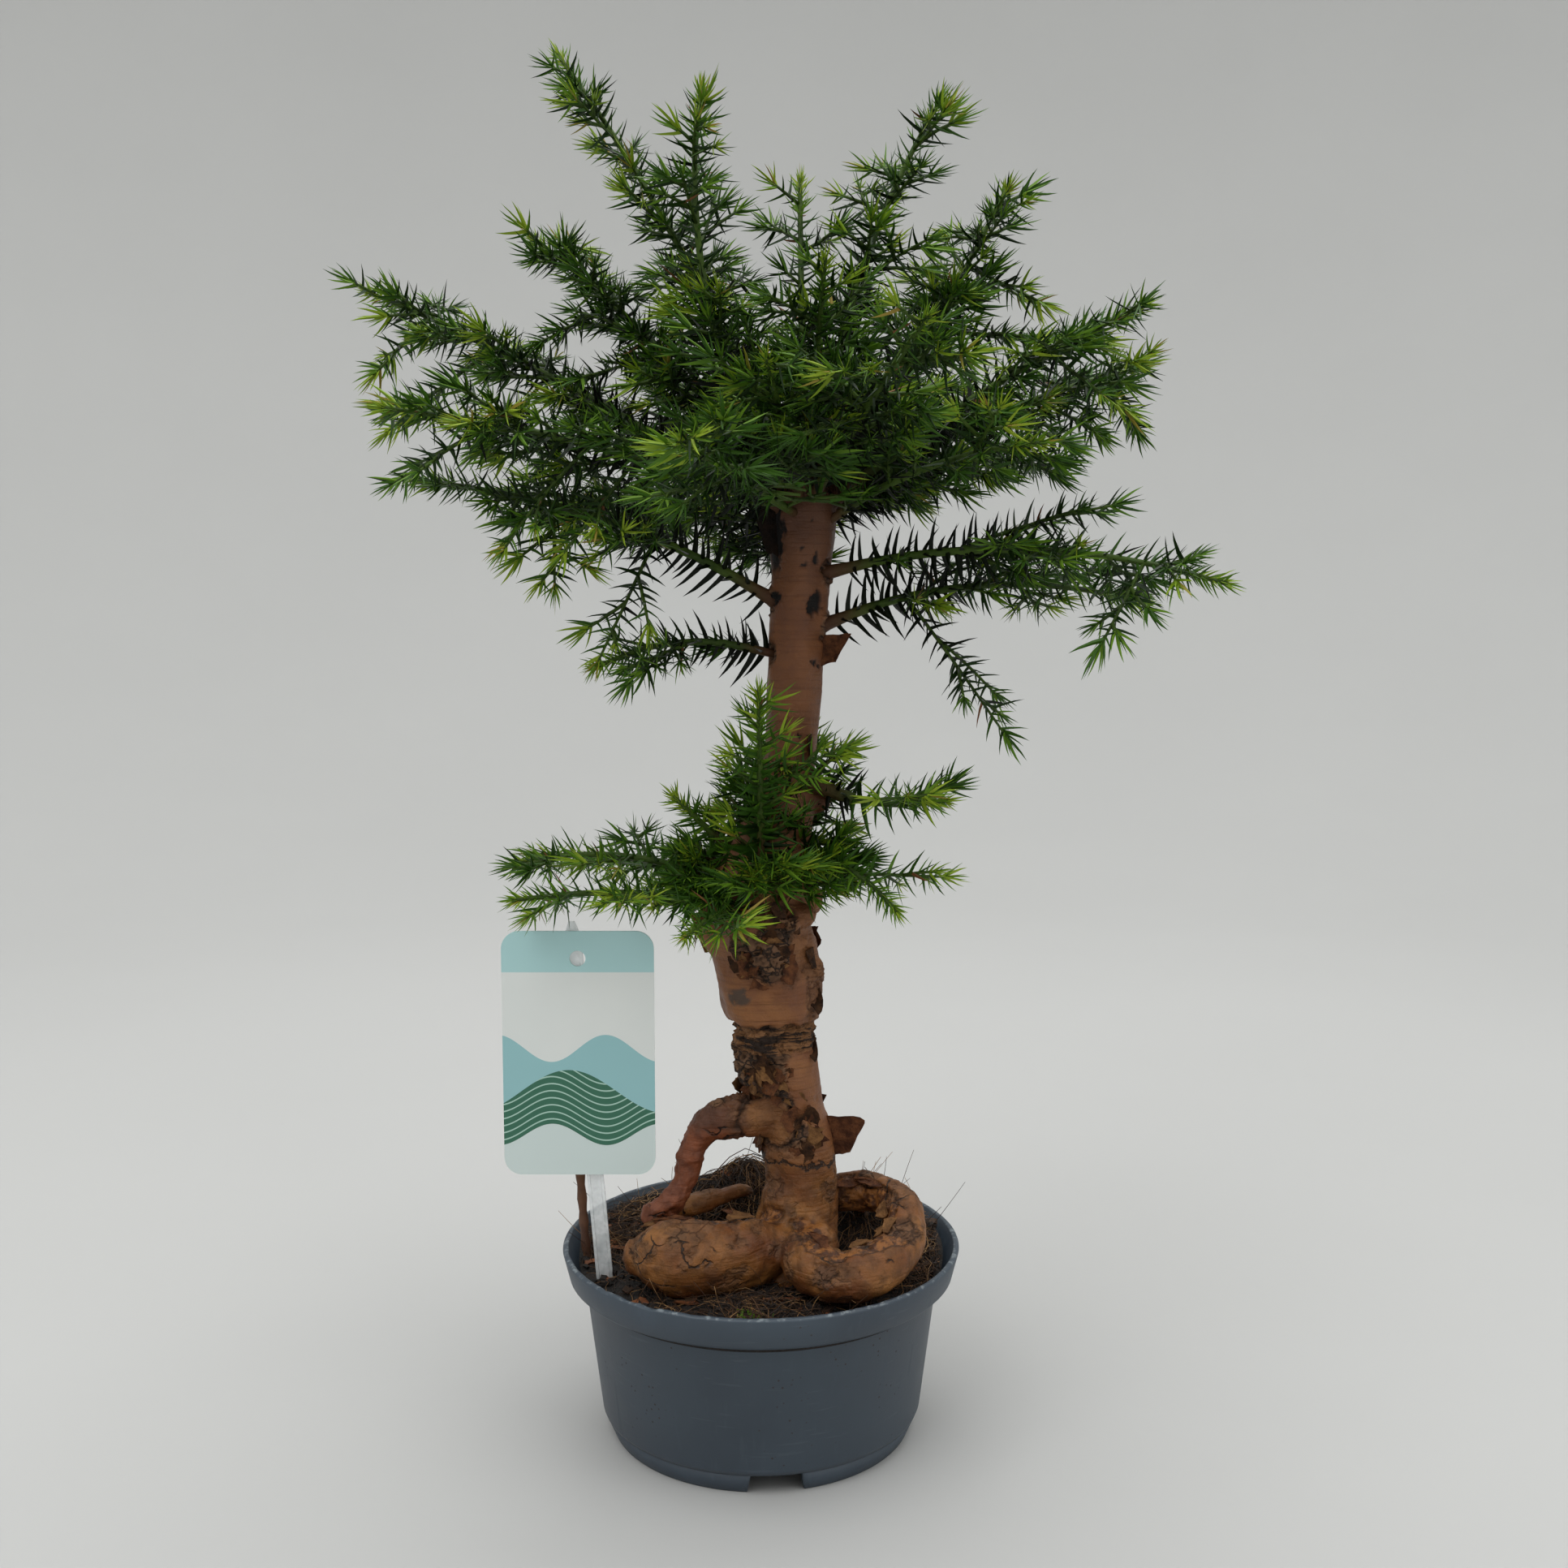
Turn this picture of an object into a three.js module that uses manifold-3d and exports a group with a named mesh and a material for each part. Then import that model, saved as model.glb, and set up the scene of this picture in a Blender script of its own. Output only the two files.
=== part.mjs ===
// A hoop pine bonsai in a low plastic nursery pot, as a scene graph of named solids.
// Millimetres, +Z up. The origin is where the pot's axis meets the surface it stands on.
// The front of the plant faces -Y, so +X is to the right of someone looking at it.
import * as THREE from 'three';
import { mergeVertices } from 'three/addons/utils/BufferGeometryUtils.js';
import Module from 'manifold-3d';

const wasm = await Module();
wasm.setup();

// Driving dimensions

const CLEARANCE = 0.3; // between neighbouring solids
const UP = new THREE.Vector3(0, 0, 1);
const NEARLY_UPRIGHT = 0.2; // sine of the angle from UP within which a direction counts as upright

const POT = {
  rimRadius: 75, // a 15 cm nursery pot
  height: 71,
  lipWidth: 3.8,
  lipRound: 0.8,
  collarHeight: 12,
  collarStep: 4.6,
  collarTaper: 2.4,
  collarBend: 2, // height of the slope between wall and collar
  wall: 1.5,
  floorRadius: 58.3,
  footRadius: 56.7,
  footHeight: 8,
  footWall: 2.4,
  footDraft: 0.6,
  footSplay: 3.9, // how far the side has leant out at the floor
  facets: 40,
};
const DRAIN = { count: 4, bearing: 276, width: 21, topWidth: 17.5, height: 7.6, reach: 14 };

const SOIL = {
  level: 65, // flat ground under the trunk and the roots
  edgeRadius: 68.8,
  wallGap: 0.7,
  edgeDrop: 4,
  flatRadius: 52,
  rings: 4,
  facets: 28,
};
// Heaps of fibre that the roots have pushed up: x, y, spread and height.
const HEAPS = [
  [4, 34, 19, 15],
  [-30, 22, 16, 10],
  [44, 24, 15, 7],
];

const TRUNK_SIDES = 16;
// Waves round the trunk: how many, their turn from row to row in radians, and their share of the radius.
const TRUNK_LUMPS = [[3, 1, 0.04], [5, -2, 0.03]];
// Rows of the trunk from its cut at ground level to its topped head: height, centre x and y, radius.
const TRUNK = [
  [65.3, 11, -15, 19],
  [76, 12, -13, 16.5],
  [88, 13.5, -9, 14],
  [99, 14.5, -6, 13],
  [113, 13.5, -5, 14.3],
  [128, 9, -5, 14.2],
  [143, 5.5, -5, 15.4],
  [153, 5, -5, 14.8],
  [163, 3, -5, 17.6],
  [180, 1.5, -5, 19.8],
  [196, -1.5, -4, 20.5],
  [209, -0.5, -3, 18],
  [224, 4, -2, 14.2],
  [240, 8.5, -1, 11.4],
  [262, 11, 0, 9.8],
  [290, 12.5, 0, 10.2],
  [322, 15, 0, 11.2],
  [346, 16, 0, 12.4],
  [358, 16.5, 0, 10.8],
];

// Roots that lie on the soil: points of the centre line, and the radius at each.
const ROOTS = {
  root_left: {
    line: [[8, -24, 75], [-6, -32, 77.5], [-22, -37, 78.5], [-38, -35, 78], [-48, -29, 77]],
    radius: [12, 13.5, 14.2, 13.2, 6.5],
  },
  root_loop_front: {
    line: [[12, -30, 78], [16, -43, 77], [30, -50, 76], [45, -43, 79]],
    radius: [8.5, 9.6, 9.4, 9],
  },
  root_loop_back: {
    line: [[45.4, -42.6, 79.1], [53, -31, 83], [53, -13, 90], [42, 0, 91], [28, 3, 89]],
    radius: [9, 8.8, 8.4, 7.6, 6.6],
  },
  root_arch: {
    line: [
      [4, -6, 122], [-13, -9, 123], [-22, -12, 117], [-28, -15, 106], [-34, -18, 96], [-40, -20, 88.5],
    ],
    radius: [8.4, 8, 5.6, 5.3, 5.9, 6.6],
  },
  root_spur: {
    line: [[-38, -16, 86], [-25, -6, 86], [-13, 2, 87], [-6, 6, 87]],
    radius: [3.4, 3.7, 3.4, 2.4],
  },
};
const ROOT_SIDES = 10;
const ROOT_STEPS_PER_POINT = 2;

const LABEL = {
  width: 55,
  height: 90,
  corner: 6.5,
  cornerFacets: 4,
  thickness: 0.9,
  holeRadius: 2.9,
  centre: [-65.7, -23.4, 148.7],
  holeDrop: 10,
};
const LABEL_STEM = { width: 6, thickness: 1.6, footX: -57, topX: -68, topHeight: 197 };

const LIMB = { sides: 6, radius: 3.2 }; // a bough where it leaves the trunk
const STEM = { sides: 4, radius: 2.5, tipRadius: 2.1, step: 24 };

// Shoots: the limbs of the tree with the foliage that they carry.
// height    where the shoot leaves the trunk
// offset    how far from the trunk's centre line it starts
// bearing   compass angle seen from above, counted from +X towards +Y
// rise      slope at the start, and curl how much that slope changes to the tip
// length    of the leafy stem and the bare limb together
// bare      length of the bare limb, or 0 where the foliage starts at the trunk
// sprays    long hanging side twigs: share of the length, bearing, rise and length
const SHOOTS = {
  leader_left: { height: 352, offset: 6, bearing: 163, rise: 69, curl: -16, length: 186, bare: 42 },
  leader_middle: { height: 350, offset: 8, bearing: 196, rise: 57, curl: 42, length: 147, bare: 34 },
  leader_back: { height: 352, offset: 6, bearing: 92, rise: 71, curl: 4, length: 127, bare: 36 },
  leader_right: { height: 352, offset: 4, bearing: 20, rise: 84, curl: -26, length: 153, bare: 40 },
  crown_left_high: { height: 349, offset: 9, bearing: 155, rise: 53, curl: -18, length: 150, bare: 36 },
  crown_left_far: {
    height: 343, offset: 10, bearing: 162, rise: 34, curl: -12, length: 194, bare: 44,
    sprays: [[0.68, 199, -35, 54]],
  },
  crown_left_near: {
    height: 346, offset: 10, bearing: 198, rise: 20, curl: -16, length: 143, bare: 36,
    sprays: [[0.5, 202, -44, 52], [0.75, 209, -35, 40]],
  },
  crown_right_high: { height: 349, offset: 9, bearing: 27, rise: 53, curl: 8, length: 143, bare: 36 },
  crown_right_near: { height: 347, offset: 10, bearing: 342, rise: 38, curl: -16, length: 129, bare: 34 },
  crown_right_far: { height: 343, offset: 10, bearing: 8, rise: 38, curl: -26, length: 133, bare: 34 },
  crown_right_low: { height: 340, offset: 10, bearing: 325, rise: 30, curl: -30, length: 91, bare: 0 },
  crown_front_right: { height: 348, offset: 9, bearing: 286, rise: 24, curl: -6, length: 124, bare: 28 },
  crown_front_high: { height: 353, offset: 5, bearing: 276, rise: 56, curl: -4, length: 86, bare: 0 },
  crown_front_left: { height: 343, offset: 10, bearing: 252, rise: 7, curl: 0, length: 115, bare: 0 },
  crown_front: { height: 347, offset: 9, bearing: 262, rise: 28, curl: -8, length: 93, bare: 0 },
  crown_back_left: { height: 349, offset: 9, bearing: 121, rise: 38, curl: -18, length: 128, bare: 0 },
  crown_back_right: { height: 348, offset: 9, bearing: 62, rise: 34, curl: -14, length: 128, bare: 0 },
  crown_back: { height: 343, offset: 9, bearing: 93, rise: 22, curl: -16, length: 115, bare: 0 },
  crown_back_low_left: { height: 339, offset: 9, bearing: 137, rise: 12, curl: -12, length: 130, bare: 0 },
  crown_back_low_right: { height: 341, offset: 9, bearing: 42, rise: 26, curl: -18, length: 122, bare: 0 },
  middle_left: {
    height: 312, offset: 9, bearing: 188, rise: 32, curl: -28, length: 136, bare: 24,
    sprays: [[0.36, 222, -60, 56], [0.64, 280, -65, 34]],
  },
  middle_left_low: { height: 293, offset: 9, bearing: 186, rise: 18, curl: -45, length: 66, bare: 0 },
  middle_right: {
    height: 322, offset: 9, bearing: 341, rise: 14, curl: -32, length: 144, bare: 20,
    sprays: [[0.34, 348, 22, 58], [0.8, 214, -56, 32]],
  },
  middle_right_low: {
    height: 303, offset: 9, bearing: 0, rise: 24, curl: -40, length: 121, bare: 20,
    sprays: [[0.27, 332, -50, 56]],
  },
  middle_back: { height: 320, offset: 9, bearing: 101, rise: 26, curl: -24, length: 92, bare: 0 },
  low_left: { height: 209, offset: 15, bearing: 181, rise: 23, curl: -36, length: 77, bare: 0 },
  low_left_near: { height: 202, offset: 16, bearing: 207, rise: 14, curl: -18, length: 79, bare: 0 },
  low_front_left: { height: 202, offset: 17, bearing: 248, rise: 4, curl: -16, length: 47, bare: 0 },
  low_front: { height: 214, offset: 14, bearing: 268, rise: 74, curl: 4, length: 69, bare: 0 },
  low_left_high: { height: 218, offset: 12, bearing: 196, rise: 47, curl: -4, length: 33, bare: 0 },
  low_right: { height: 246, offset: 8, bearing: 337, rise: -23, curl: 36, length: 56, bare: 18 },
  low_right_near: { height: 218, offset: 12, bearing: 325, rise: 9, curl: -56, length: 49, bare: 0 },
  low_back: { height: 217, offset: 12, bearing: 80, rise: 16, curl: -16, length: 72, bare: 0 },
  low_back_left: { height: 204, offset: 15, bearing: 131, rise: 8, curl: -12, length: 62, bare: 0 },
};

// The rule that side twigs and needles follow on every shoot. Leans are angles from the stem,
// rolls are angles round it from its upper side, and the spreads are the most that chance adds.
const TWIGS = {
  first: 0.26, // share of the shoot's length at the first twig
  clearStart: 4,
  spacing: 26,
  spacingSpread: 0.6, // share of the spacing
  length: 46,
  shortest: 0.7, // share of the length, to which chance adds up to lengthSpread
  lengthSpread: 0.5,
  tipShortening: 0.6,
  lean: 44,
  leanSpread: 18,
  roll: 62,
  rollSpread: 56,
  twist: 35, // the most that a twig's flat spray turns out of the level
};
// A twig's needles are the teeth of a flat blade, and each tooth stands for several needles.
const SPRAY = { rib: 1, thickness: 0.9, root: 5, toothSpacing: 8, lean: 48, long: 17, short: 10 };
// Needles that stand round the stem itself.
const NEEDLES = {
  sides: 3,
  radius: 1.3,
  spacing: 17,
  long: 23,
  short: 14,
  lean: 62,
  tipLean: 32,
  turn: 137.5,
  tipCount: 2,
  tipSpacing: 3,
};

// Solids

// A geometry as a manifold solid: only its positions count, with shared corners merged.
function solidOf(geometry) {
  const bare = new THREE.BufferGeometry();
  bare.setAttribute('position', geometry.getAttribute('position'));
  bare.setIndex(geometry.index);
  const merged = mergeVertices(bare, 1e-4);
  return new wasm.Manifold(new wasm.Mesh({
    numProp: 3,
    vertProperties: new Float32Array(merged.getAttribute('position').array),
    triVerts: new Uint32Array(merged.index.array),
  }));
}

// A manifold solid as a geometry that three.js can show.
function geometryOf(solid) {
  const mesh = solid.getMesh();
  const geometry = new THREE.BufferGeometry();
  geometry.setAttribute('position', new THREE.BufferAttribute(mesh.vertProperties, 3));
  geometry.setIndex(new THREE.BufferAttribute(mesh.triVerts, 1));
  geometry.computeVertexNormals();
  return geometry;
}

// The largest body of a solid: a scrap that a cut leaves loose is dropped.
function largestBody(solid) {
  const bodies = solid.decompose();
  return bodies.reduce((best, body) => (body.volume() > best.volume() ? body : best));
}

const material = (color, roughness) =>
  new THREE.MeshStandardMaterial({ color, roughness, metalness: 0, flatShading: true });
const MATERIALS = {
  pot: material(0x4c5964, 0.55),
  soil: material(0x2b1c12, 0.95),
  bark: material(0x8f6440, 0.75),
  root: material(0x8a6038, 0.7),
  limb: material(0x4d5a2a, 0.7),
  foliage: material(0x2f6b22, 0.6),
  card: material(0xc9d2cd, 0.5),
  clear: material(0xd9dee0, 0.3),
};

const plant = new THREE.Group();
plant.name = 'hoop_pine_bonsai';

function addPart(name, solid, partMaterial) {
  const mesh = new THREE.Mesh(geometryOf(solid), partMaterial);
  mesh.name = name;
  plant.add(mesh);
}

// A cylinder bent onto a path, with the radius that radiusAt(ring, angle) gives it there.
function bentCylinder(path, frames, radiusAt, sides) {
  const rings = path.length - 1;
  const tube = new THREE.CylinderGeometry(1, 1, rings, sides, rings);
  const position = tube.getAttribute('position');
  const corner = new THREE.Vector3();
  for (let i = 0; i < position.count; i++) {
    const ring = Math.round(position.getY(i) + rings / 2);
    const [x, z] = [position.getX(i), position.getZ(i)];
    const radius = radiusAt(ring, Math.atan2(z, x));
    corner.copy(path[ring]);
    corner.addScaledVector(frames[ring].across, x * radius);
    corner.addScaledVector(frames[ring].beside, z * radius);
    position.setXYZ(i, corner.x, corner.y, corner.z);
  }
  return solidOf(tube);
}

// At each point of a path, two directions that are square to it and to each other and don't twist.
function framesAlong(path) {
  let across = null;
  return path.map((_, i) => {
    const before = path[Math.max(i - 1, 0)];
    const after = path[Math.min(i + 1, path.length - 1)];
    const along = after.clone().sub(before).normalize();
    if (!across) across = steadySide(along);
    across = across.clone().addScaledVector(along, -across.dot(along)).normalize();
    return { across, beside: across.clone().cross(along) };
  });
}

// A level direction square to another, also where that one is upright.
function steadySide(along) {
  const side = along.clone().cross(UP);
  if (side.length() < NEARLY_UPRIGHT) side.set(1, 0, 0).cross(along);
  return side.normalize();
}

const { degToRad: degrees, lerp } = THREE.MathUtils;

// A unit vector from a compass bearing and a rise above the horizon, both in degrees.
function heading(bearing, rise) {
  const flat = Math.cos(degrees(rise));
  return new THREE.Vector3(
    flat * Math.cos(degrees(bearing)),
    flat * Math.sin(degrees(bearing)),
    Math.sin(degrees(rise)),
  );
}

// Trunk

const trunkPath = TRUNK.map(([height, x, y]) => new THREE.Vector3(x, y, height));

// The trunk in level rings, so that its foot is a flat cut, or the trunk grown by a clearance.
function trunkSolid(extra) {
  const radiusAt = (ring, angle) => {
    const lumps = TRUNK_LUMPS.map(([count, turn, share]) => share * Math.sin(count * angle + turn * ring));
    return TRUNK[ring][3] * lumps.reduce((sum, lump) => sum + lump, 1) + extra;
  };
  const path = trunkPath.map((point) => point.clone());
  path[0].z -= extra;
  path[path.length - 1].z += extra;
  const level = { across: new THREE.Vector3(1, 0, 0), beside: new THREE.Vector3(0, -1, 0) };
  return bentCylinder(path, path.map(() => level), radiusAt, TRUNK_SIDES);
}

// The trunk's centre at a height.
function trunkCentre(height) {
  const above = Math.max(TRUNK.findIndex((row) => row[0] >= height), 1);
  const [low, high] = [TRUNK[above - 1], TRUNK[above]];
  const share = (height - low[0]) / (high[0] - low[0]);
  return new THREE.Vector3(
    lerp(low[1], high[1], share),
    lerp(low[2], high[2], share),
    height,
  );
}

const trunkCutter = trunkSolid(CLEARANCE);
addPart('trunk', trunkSolid(0), MATERIALS.bark);

// Pot and soil

function potSolid() {
  const { rimRadius, height, lipWidth, lipRound, collarHeight, collarStep, collarTaper, collarBend } = POT;
  const { wall, floorRadius, footRadius, footHeight, footWall, footDraft, footSplay } = POT;
  const wallTop = rimRadius - lipWidth - collarStep;
  const collarFoot = height - collarHeight;
  const floorTop = footHeight + wall;
  const outline = [
    [0, footHeight],
    [footRadius - footWall - footDraft, footHeight],
    [footRadius - footWall, 0],
    [footRadius, 0],
    [footRadius + footSplay, floorTop],
    [wallTop, collarFoot - collarBend],
    [rimRadius - lipWidth, collarFoot],
    [rimRadius - collarTaper, collarFoot + wall],
    [rimRadius, height - lipRound],
    [rimRadius - lipRound, height],
    [rimRadius - lipWidth, height],
    [rimRadius - lipWidth - wall, collarFoot + collarBend / 2],
    [wallTop - wall, collarFoot - collarBend / 2],
    [floorRadius, floorTop],
    [0, floorTop],
  ].map(([radius, level]) => new THREE.Vector2(radius, level));
  const bowl = solidOf(new THREE.LatheGeometry(outline, POT.facets).rotateX(Math.PI / 2));
  const drain = drainCutter();
  let pot = bowl;
  for (let i = 0; i < DRAIN.count; i++) {
    pot = pot.subtract(drain.rotate([0, 0, DRAIN.bearing + (360 / DRAIN.count) * i]));
  }
  return pot;
}

// A notch through the foot ring, wider at the ground, lying along +X.
function drainCutter() {
  const { width, topWidth, height, reach } = DRAIN;
  const notch = new THREE.Shape();
  notch.moveTo(-width / 2, -1);
  notch.lineTo(width / 2, -1);
  notch.lineTo(topWidth / 2, height);
  notch.lineTo(-topWidth / 2, height);
  notch.closePath();
  const block = new THREE.ExtrudeGeometry(notch, { depth: reach, bevelEnabled: false });
  block.rotateX(Math.PI / 2).rotateZ(Math.PI / 2);
  block.translate(POT.footRadius - reach / 2, 0, 0);
  return solidOf(block);
}

// Height of the soil at a place: flat under the roots, lower at the wall, with heaps of fibre.
function soilHeight(x, y) {
  const radius = Math.hypot(x, y);
  const edge = THREE.MathUtils.smoothstep(radius, SOIL.flatRadius, SOIL.edgeRadius);
  const heaped = HEAPS.reduce((sum, [heapX, heapY, spread, height]) => {
    const away = Math.hypot(x - heapX, y - heapY) / spread;
    return sum + height * Math.exp(-away * away);
  }, 0);
  return SOIL.level - SOIL.edgeDrop * edge + heaped * (1 - edge);
}

function soilSolid() {
  const floor = POT.footHeight + POT.wall + CLEARANCE;
  const wallTop = POT.rimRadius - POT.lipWidth - POT.collarStep - POT.wall - SOIL.wallGap;
  const collarFoot = POT.height - POT.collarHeight;
  const outline = [
    [0, floor],
    [POT.floorRadius - SOIL.wallGap, floor],
    [wallTop, collarFoot - 2 * SOIL.wallGap],
    [SOIL.edgeRadius, SOIL.level - SOIL.edgeDrop],
  ];
  const firstTop = outline.length;
  for (let ring = SOIL.rings; ring >= 0; ring--) {
    outline.push([SOIL.edgeRadius * ring / (SOIL.rings + 1), SOIL.level]);
  }
  const profile = outline.map(([radius, level]) => new THREE.Vector2(radius, level));
  const heap = new THREE.LatheGeometry(profile, SOIL.facets).rotateX(Math.PI / 2);
  const position = heap.getAttribute('position');
  for (let i = 0; i < position.count; i++) {
    if (i % outline.length >= firstTop) position.setZ(i, soilHeight(position.getX(i), position.getY(i)));
  }
  return solidOf(heap);
}

addPart('pot', potSolid(), MATERIALS.pot);

// Roots

function rootSolid(root, extra) {
  const line = new THREE.CatmullRomCurve3(root.line.map((point) => new THREE.Vector3(...point)));
  const steps = (root.line.length - 1) * ROOT_STEPS_PER_POINT;
  const path = Array.from({ length: steps + 1 }, (_, i) => line.getPoint(i / steps));
  const radiusAt = (ring) => {
    const place = ring / ROOT_STEPS_PER_POINT;
    const from = Math.min(Math.floor(place), root.radius.length - 2);
    return lerp(root.radius[from], root.radius[from + 1], place - from) + extra;
  };
  return bentCylinder(path, framesAlong(path), radiusAt, ROOT_SIDES);
}

const soilBlock = soilSolid();
const soilCutter = soilBlock.translate([0, 0, CLEARANCE]);
const soil = soilBlock.subtract(trunkCutter);
const earlier = [trunkCutter, soilCutter];
for (const [name, root] of Object.entries(ROOTS)) {
  let solid = rootSolid(root, 0);
  earlier.forEach((cutter) => { solid = solid.subtract(cutter); });
  addPart(name, largestBody(solid), MATERIALS.root);
  earlier.push(rootSolid(root, CLEARANCE));
}
addPart('soil', largestBody(soil), MATERIALS.soil);

// Label card on its clear stem

function labelCard() {
  const { width, height, corner, thickness, holeRadius, centre, holeDrop } = LABEL;
  const [right, top] = [width / 2, height / 2];
  const card = new THREE.Shape();
  card.moveTo(-right + corner, -top);
  card.lineTo(right - corner, -top);
  card.absarc(right - corner, -top + corner, corner, -Math.PI / 2, 0);
  card.lineTo(right, top - corner);
  card.absarc(right - corner, top - corner, corner, 0, Math.PI / 2);
  card.lineTo(-right + corner, top);
  card.absarc(-right + corner, top - corner, corner, Math.PI / 2, Math.PI);
  card.lineTo(-right, -top + corner);
  card.absarc(-right + corner, -top + corner, corner, Math.PI, 1.5 * Math.PI);
  card.holes.push(new THREE.Path().absarc(0, top - holeDrop, holeRadius, 0, 2 * Math.PI, true));
  const sheet = new THREE.ExtrudeGeometry(card, {
    depth: thickness,
    bevelEnabled: false,
    curveSegments: LABEL.cornerFacets,
  });
  sheet.rotateX(Math.PI / 2).translate(centre[0], centre[1] + thickness / 2, centre[2]);
  return solidOf(sheet);
}

// The clear stem stands in the soil, close behind the card.
const stemY = LABEL.centre[1] + LABEL.thickness / 2 + CLEARANCE + LABEL_STEM.thickness / 2;

function labelStem() {
  const { width, thickness, footX, topX, topHeight } = LABEL_STEM;
  const ground = soilHeight(footX, stemY) - thickness;
  const blade = new THREE.Shape();
  blade.moveTo(footX - width / 2, ground);
  blade.lineTo(footX + width / 2, ground);
  blade.lineTo(topX + width / 2, topHeight - width / 2);
  blade.lineTo(topX, topHeight);
  blade.lineTo(topX - width / 2, topHeight - width / 2);
  blade.closePath();
  const strip = new THREE.ExtrudeGeometry(blade, { depth: thickness, bevelEnabled: false });
  strip.rotateX(Math.PI / 2).translate(0, stemY + thickness / 2, 0);
  return solidOf(strip).subtract(soilCutter);
}

addPart('label_card', labelCard(), MATERIALS.card);
addPart('label_stem', labelStem(), MATERIALS.clear);

// Shoots

// Seeded numbers from 0 to 1, the same on every run.
function seededNumbers(seed) {
  let state = Math.imul(seed + 1, 2654435761) >>> 0;
  return () => {
    state = (Math.imul(state, 1664525) + 1013904223) >>> 0;
    return state / 4294967296;
  };
}

// The centre line of a shoot from the trunk to its tip, in even steps.
function shootPath({ height, offset, bearing, rise, curl, length }) {
  const steps = Math.max(3, Math.round(length / STEM.step));
  const path = [trunkCentre(height).addScaledVector(heading(bearing, 0), offset)];
  for (let i = 0; i < steps; i++) {
    const slope = rise + curl * (i + 0.5) / steps;
    path.push(path[i].clone().addScaledVector(heading(bearing, slope), length / steps));
  }
  return path;
}

// Point and direction at a distance along a path of even steps.
function placeOn(path, distance) {
  const step = path[1].distanceTo(path[0]);
  const from = Math.min(Math.floor(distance / step), path.length - 2);
  const along = path[from + 1].clone().sub(path[from]).normalize();
  return { point: path[from].clone().addScaledVector(along, distance - from * step), along };
}

// The part of a path between two distances, in even steps.
function pathBetween(path, start, end) {
  const count = Math.max(1, Math.round((end - start) / STEM.step));
  const distances = Array.from({ length: count + 1 }, (_, i) => lerp(start, end, i / count));
  return distances.map((distance) => placeOn(path, distance).point);
}

// A direction that leans away from a stem, rolled round it from its upper side.
function leaning(along, lean, roll) {
  const side = steadySide(along);
  const upper = side.clone().cross(along);
  return along.clone().multiplyScalar(Math.cos(degrees(lean)))
    .addScaledVector(upper, Math.sin(degrees(lean)) * Math.cos(degrees(roll)))
    .addScaledVector(side, Math.sin(degrees(lean)) * Math.sin(degrees(roll)));
}

// What already has its place: rods from a to b with a radius, and the shoot that they belong to.
const taken = [];

function isClear(a, b, radius, owner) {
  const rod = new THREE.Line3(a, b);
  return taken.every((other) => other.owner === owner
    || rodDistance(rod, other) > radius + other.radius + CLEARANCE);
}

// Shortest distance between two rods' centre lines.
function rodDistance(rod, other) {
  const d1 = rod.end.clone().sub(rod.start);
  const d2 = other.b.clone().sub(other.a);
  const between = rod.start.clone().sub(other.a);
  const [a, e, f] = [d1.lengthSq(), d2.lengthSq(), d2.dot(between)];
  const [b, c] = [d1.dot(d2), d1.dot(between)];
  const square = a * e - b * b;
  const clamp = THREE.MathUtils.clamp;
  let s = square > 1e-9 ? clamp((b * f - c * e) / square, 0, 1) : 0;
  let t = (b * s + f) / e;
  if (t < 0 || t > 1) {
    t = clamp(t, 0, 1);
    s = clamp((b * t - c) / a, 0, 1);
  }
  return rod.start.clone().addScaledVector(d1, s).distanceTo(other.a.clone().addScaledVector(d2, t));
}

function take(path, radius, owner) {
  for (let i = 1; i < path.length; i++) taken.push({ a: path[i - 1], b: path[i], radius, owner });
}

// A needle that stands out of a stem's centre line.
function needleSolid(from, along, length) {
  const cone = new THREE.ConeGeometry(NEEDLES.radius, length, NEEDLES.sides);
  cone.translate(0, length / 2, 0);
  cone.applyQuaternion(new THREE.Quaternion().setFromUnitVectors(new THREE.Vector3(0, 1, 0), along));
  cone.translate(from.x, from.y, from.z);
  return solidOf(cone);
}

// Takes the place between two points for a shoot, if that keeps clear of every other shoot.
function claim(from, to, radius, owner) {
  const free = isClear(from, to, radius, owner);
  if (free) take([from, to], radius, owner);
  return free;
}

// Needles on a stem, turned round it by a fixed angle from one to the next, the last ones at its tip.
function needlesOn(path, length, owner) {
  const needles = [];
  const tipStart = length - NEEDLES.tipSpacing * NEEDLES.tipCount;
  const count = Math.floor(tipStart / NEEDLES.spacing);
  for (let i = 0; i < count + NEEDLES.tipCount; i++) {
    const distance = i < count
      ? tipStart * (i + 0.5) / count
      : tipStart + NEEDLES.tipSpacing * (i - count + 0.5);
    const share = distance / length;
    const { point, along } = placeOn(path, distance);
    const lean = lerp(NEEDLES.lean, NEEDLES.tipLean, share * share);
    const way = leaning(along, lean, NEEDLES.turn * i);
    const reach = lerp(NEEDLES.long, NEEDLES.short, share);
    const outside = point.clone().addScaledVector(way, STEM.radius);
    const tip = point.clone().addScaledVector(way, reach);
    if (claim(outside, tip, NEEDLES.radius, owner)) needles.push(needleSolid(point, way, reach));
  }
  return needles;
}

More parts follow.
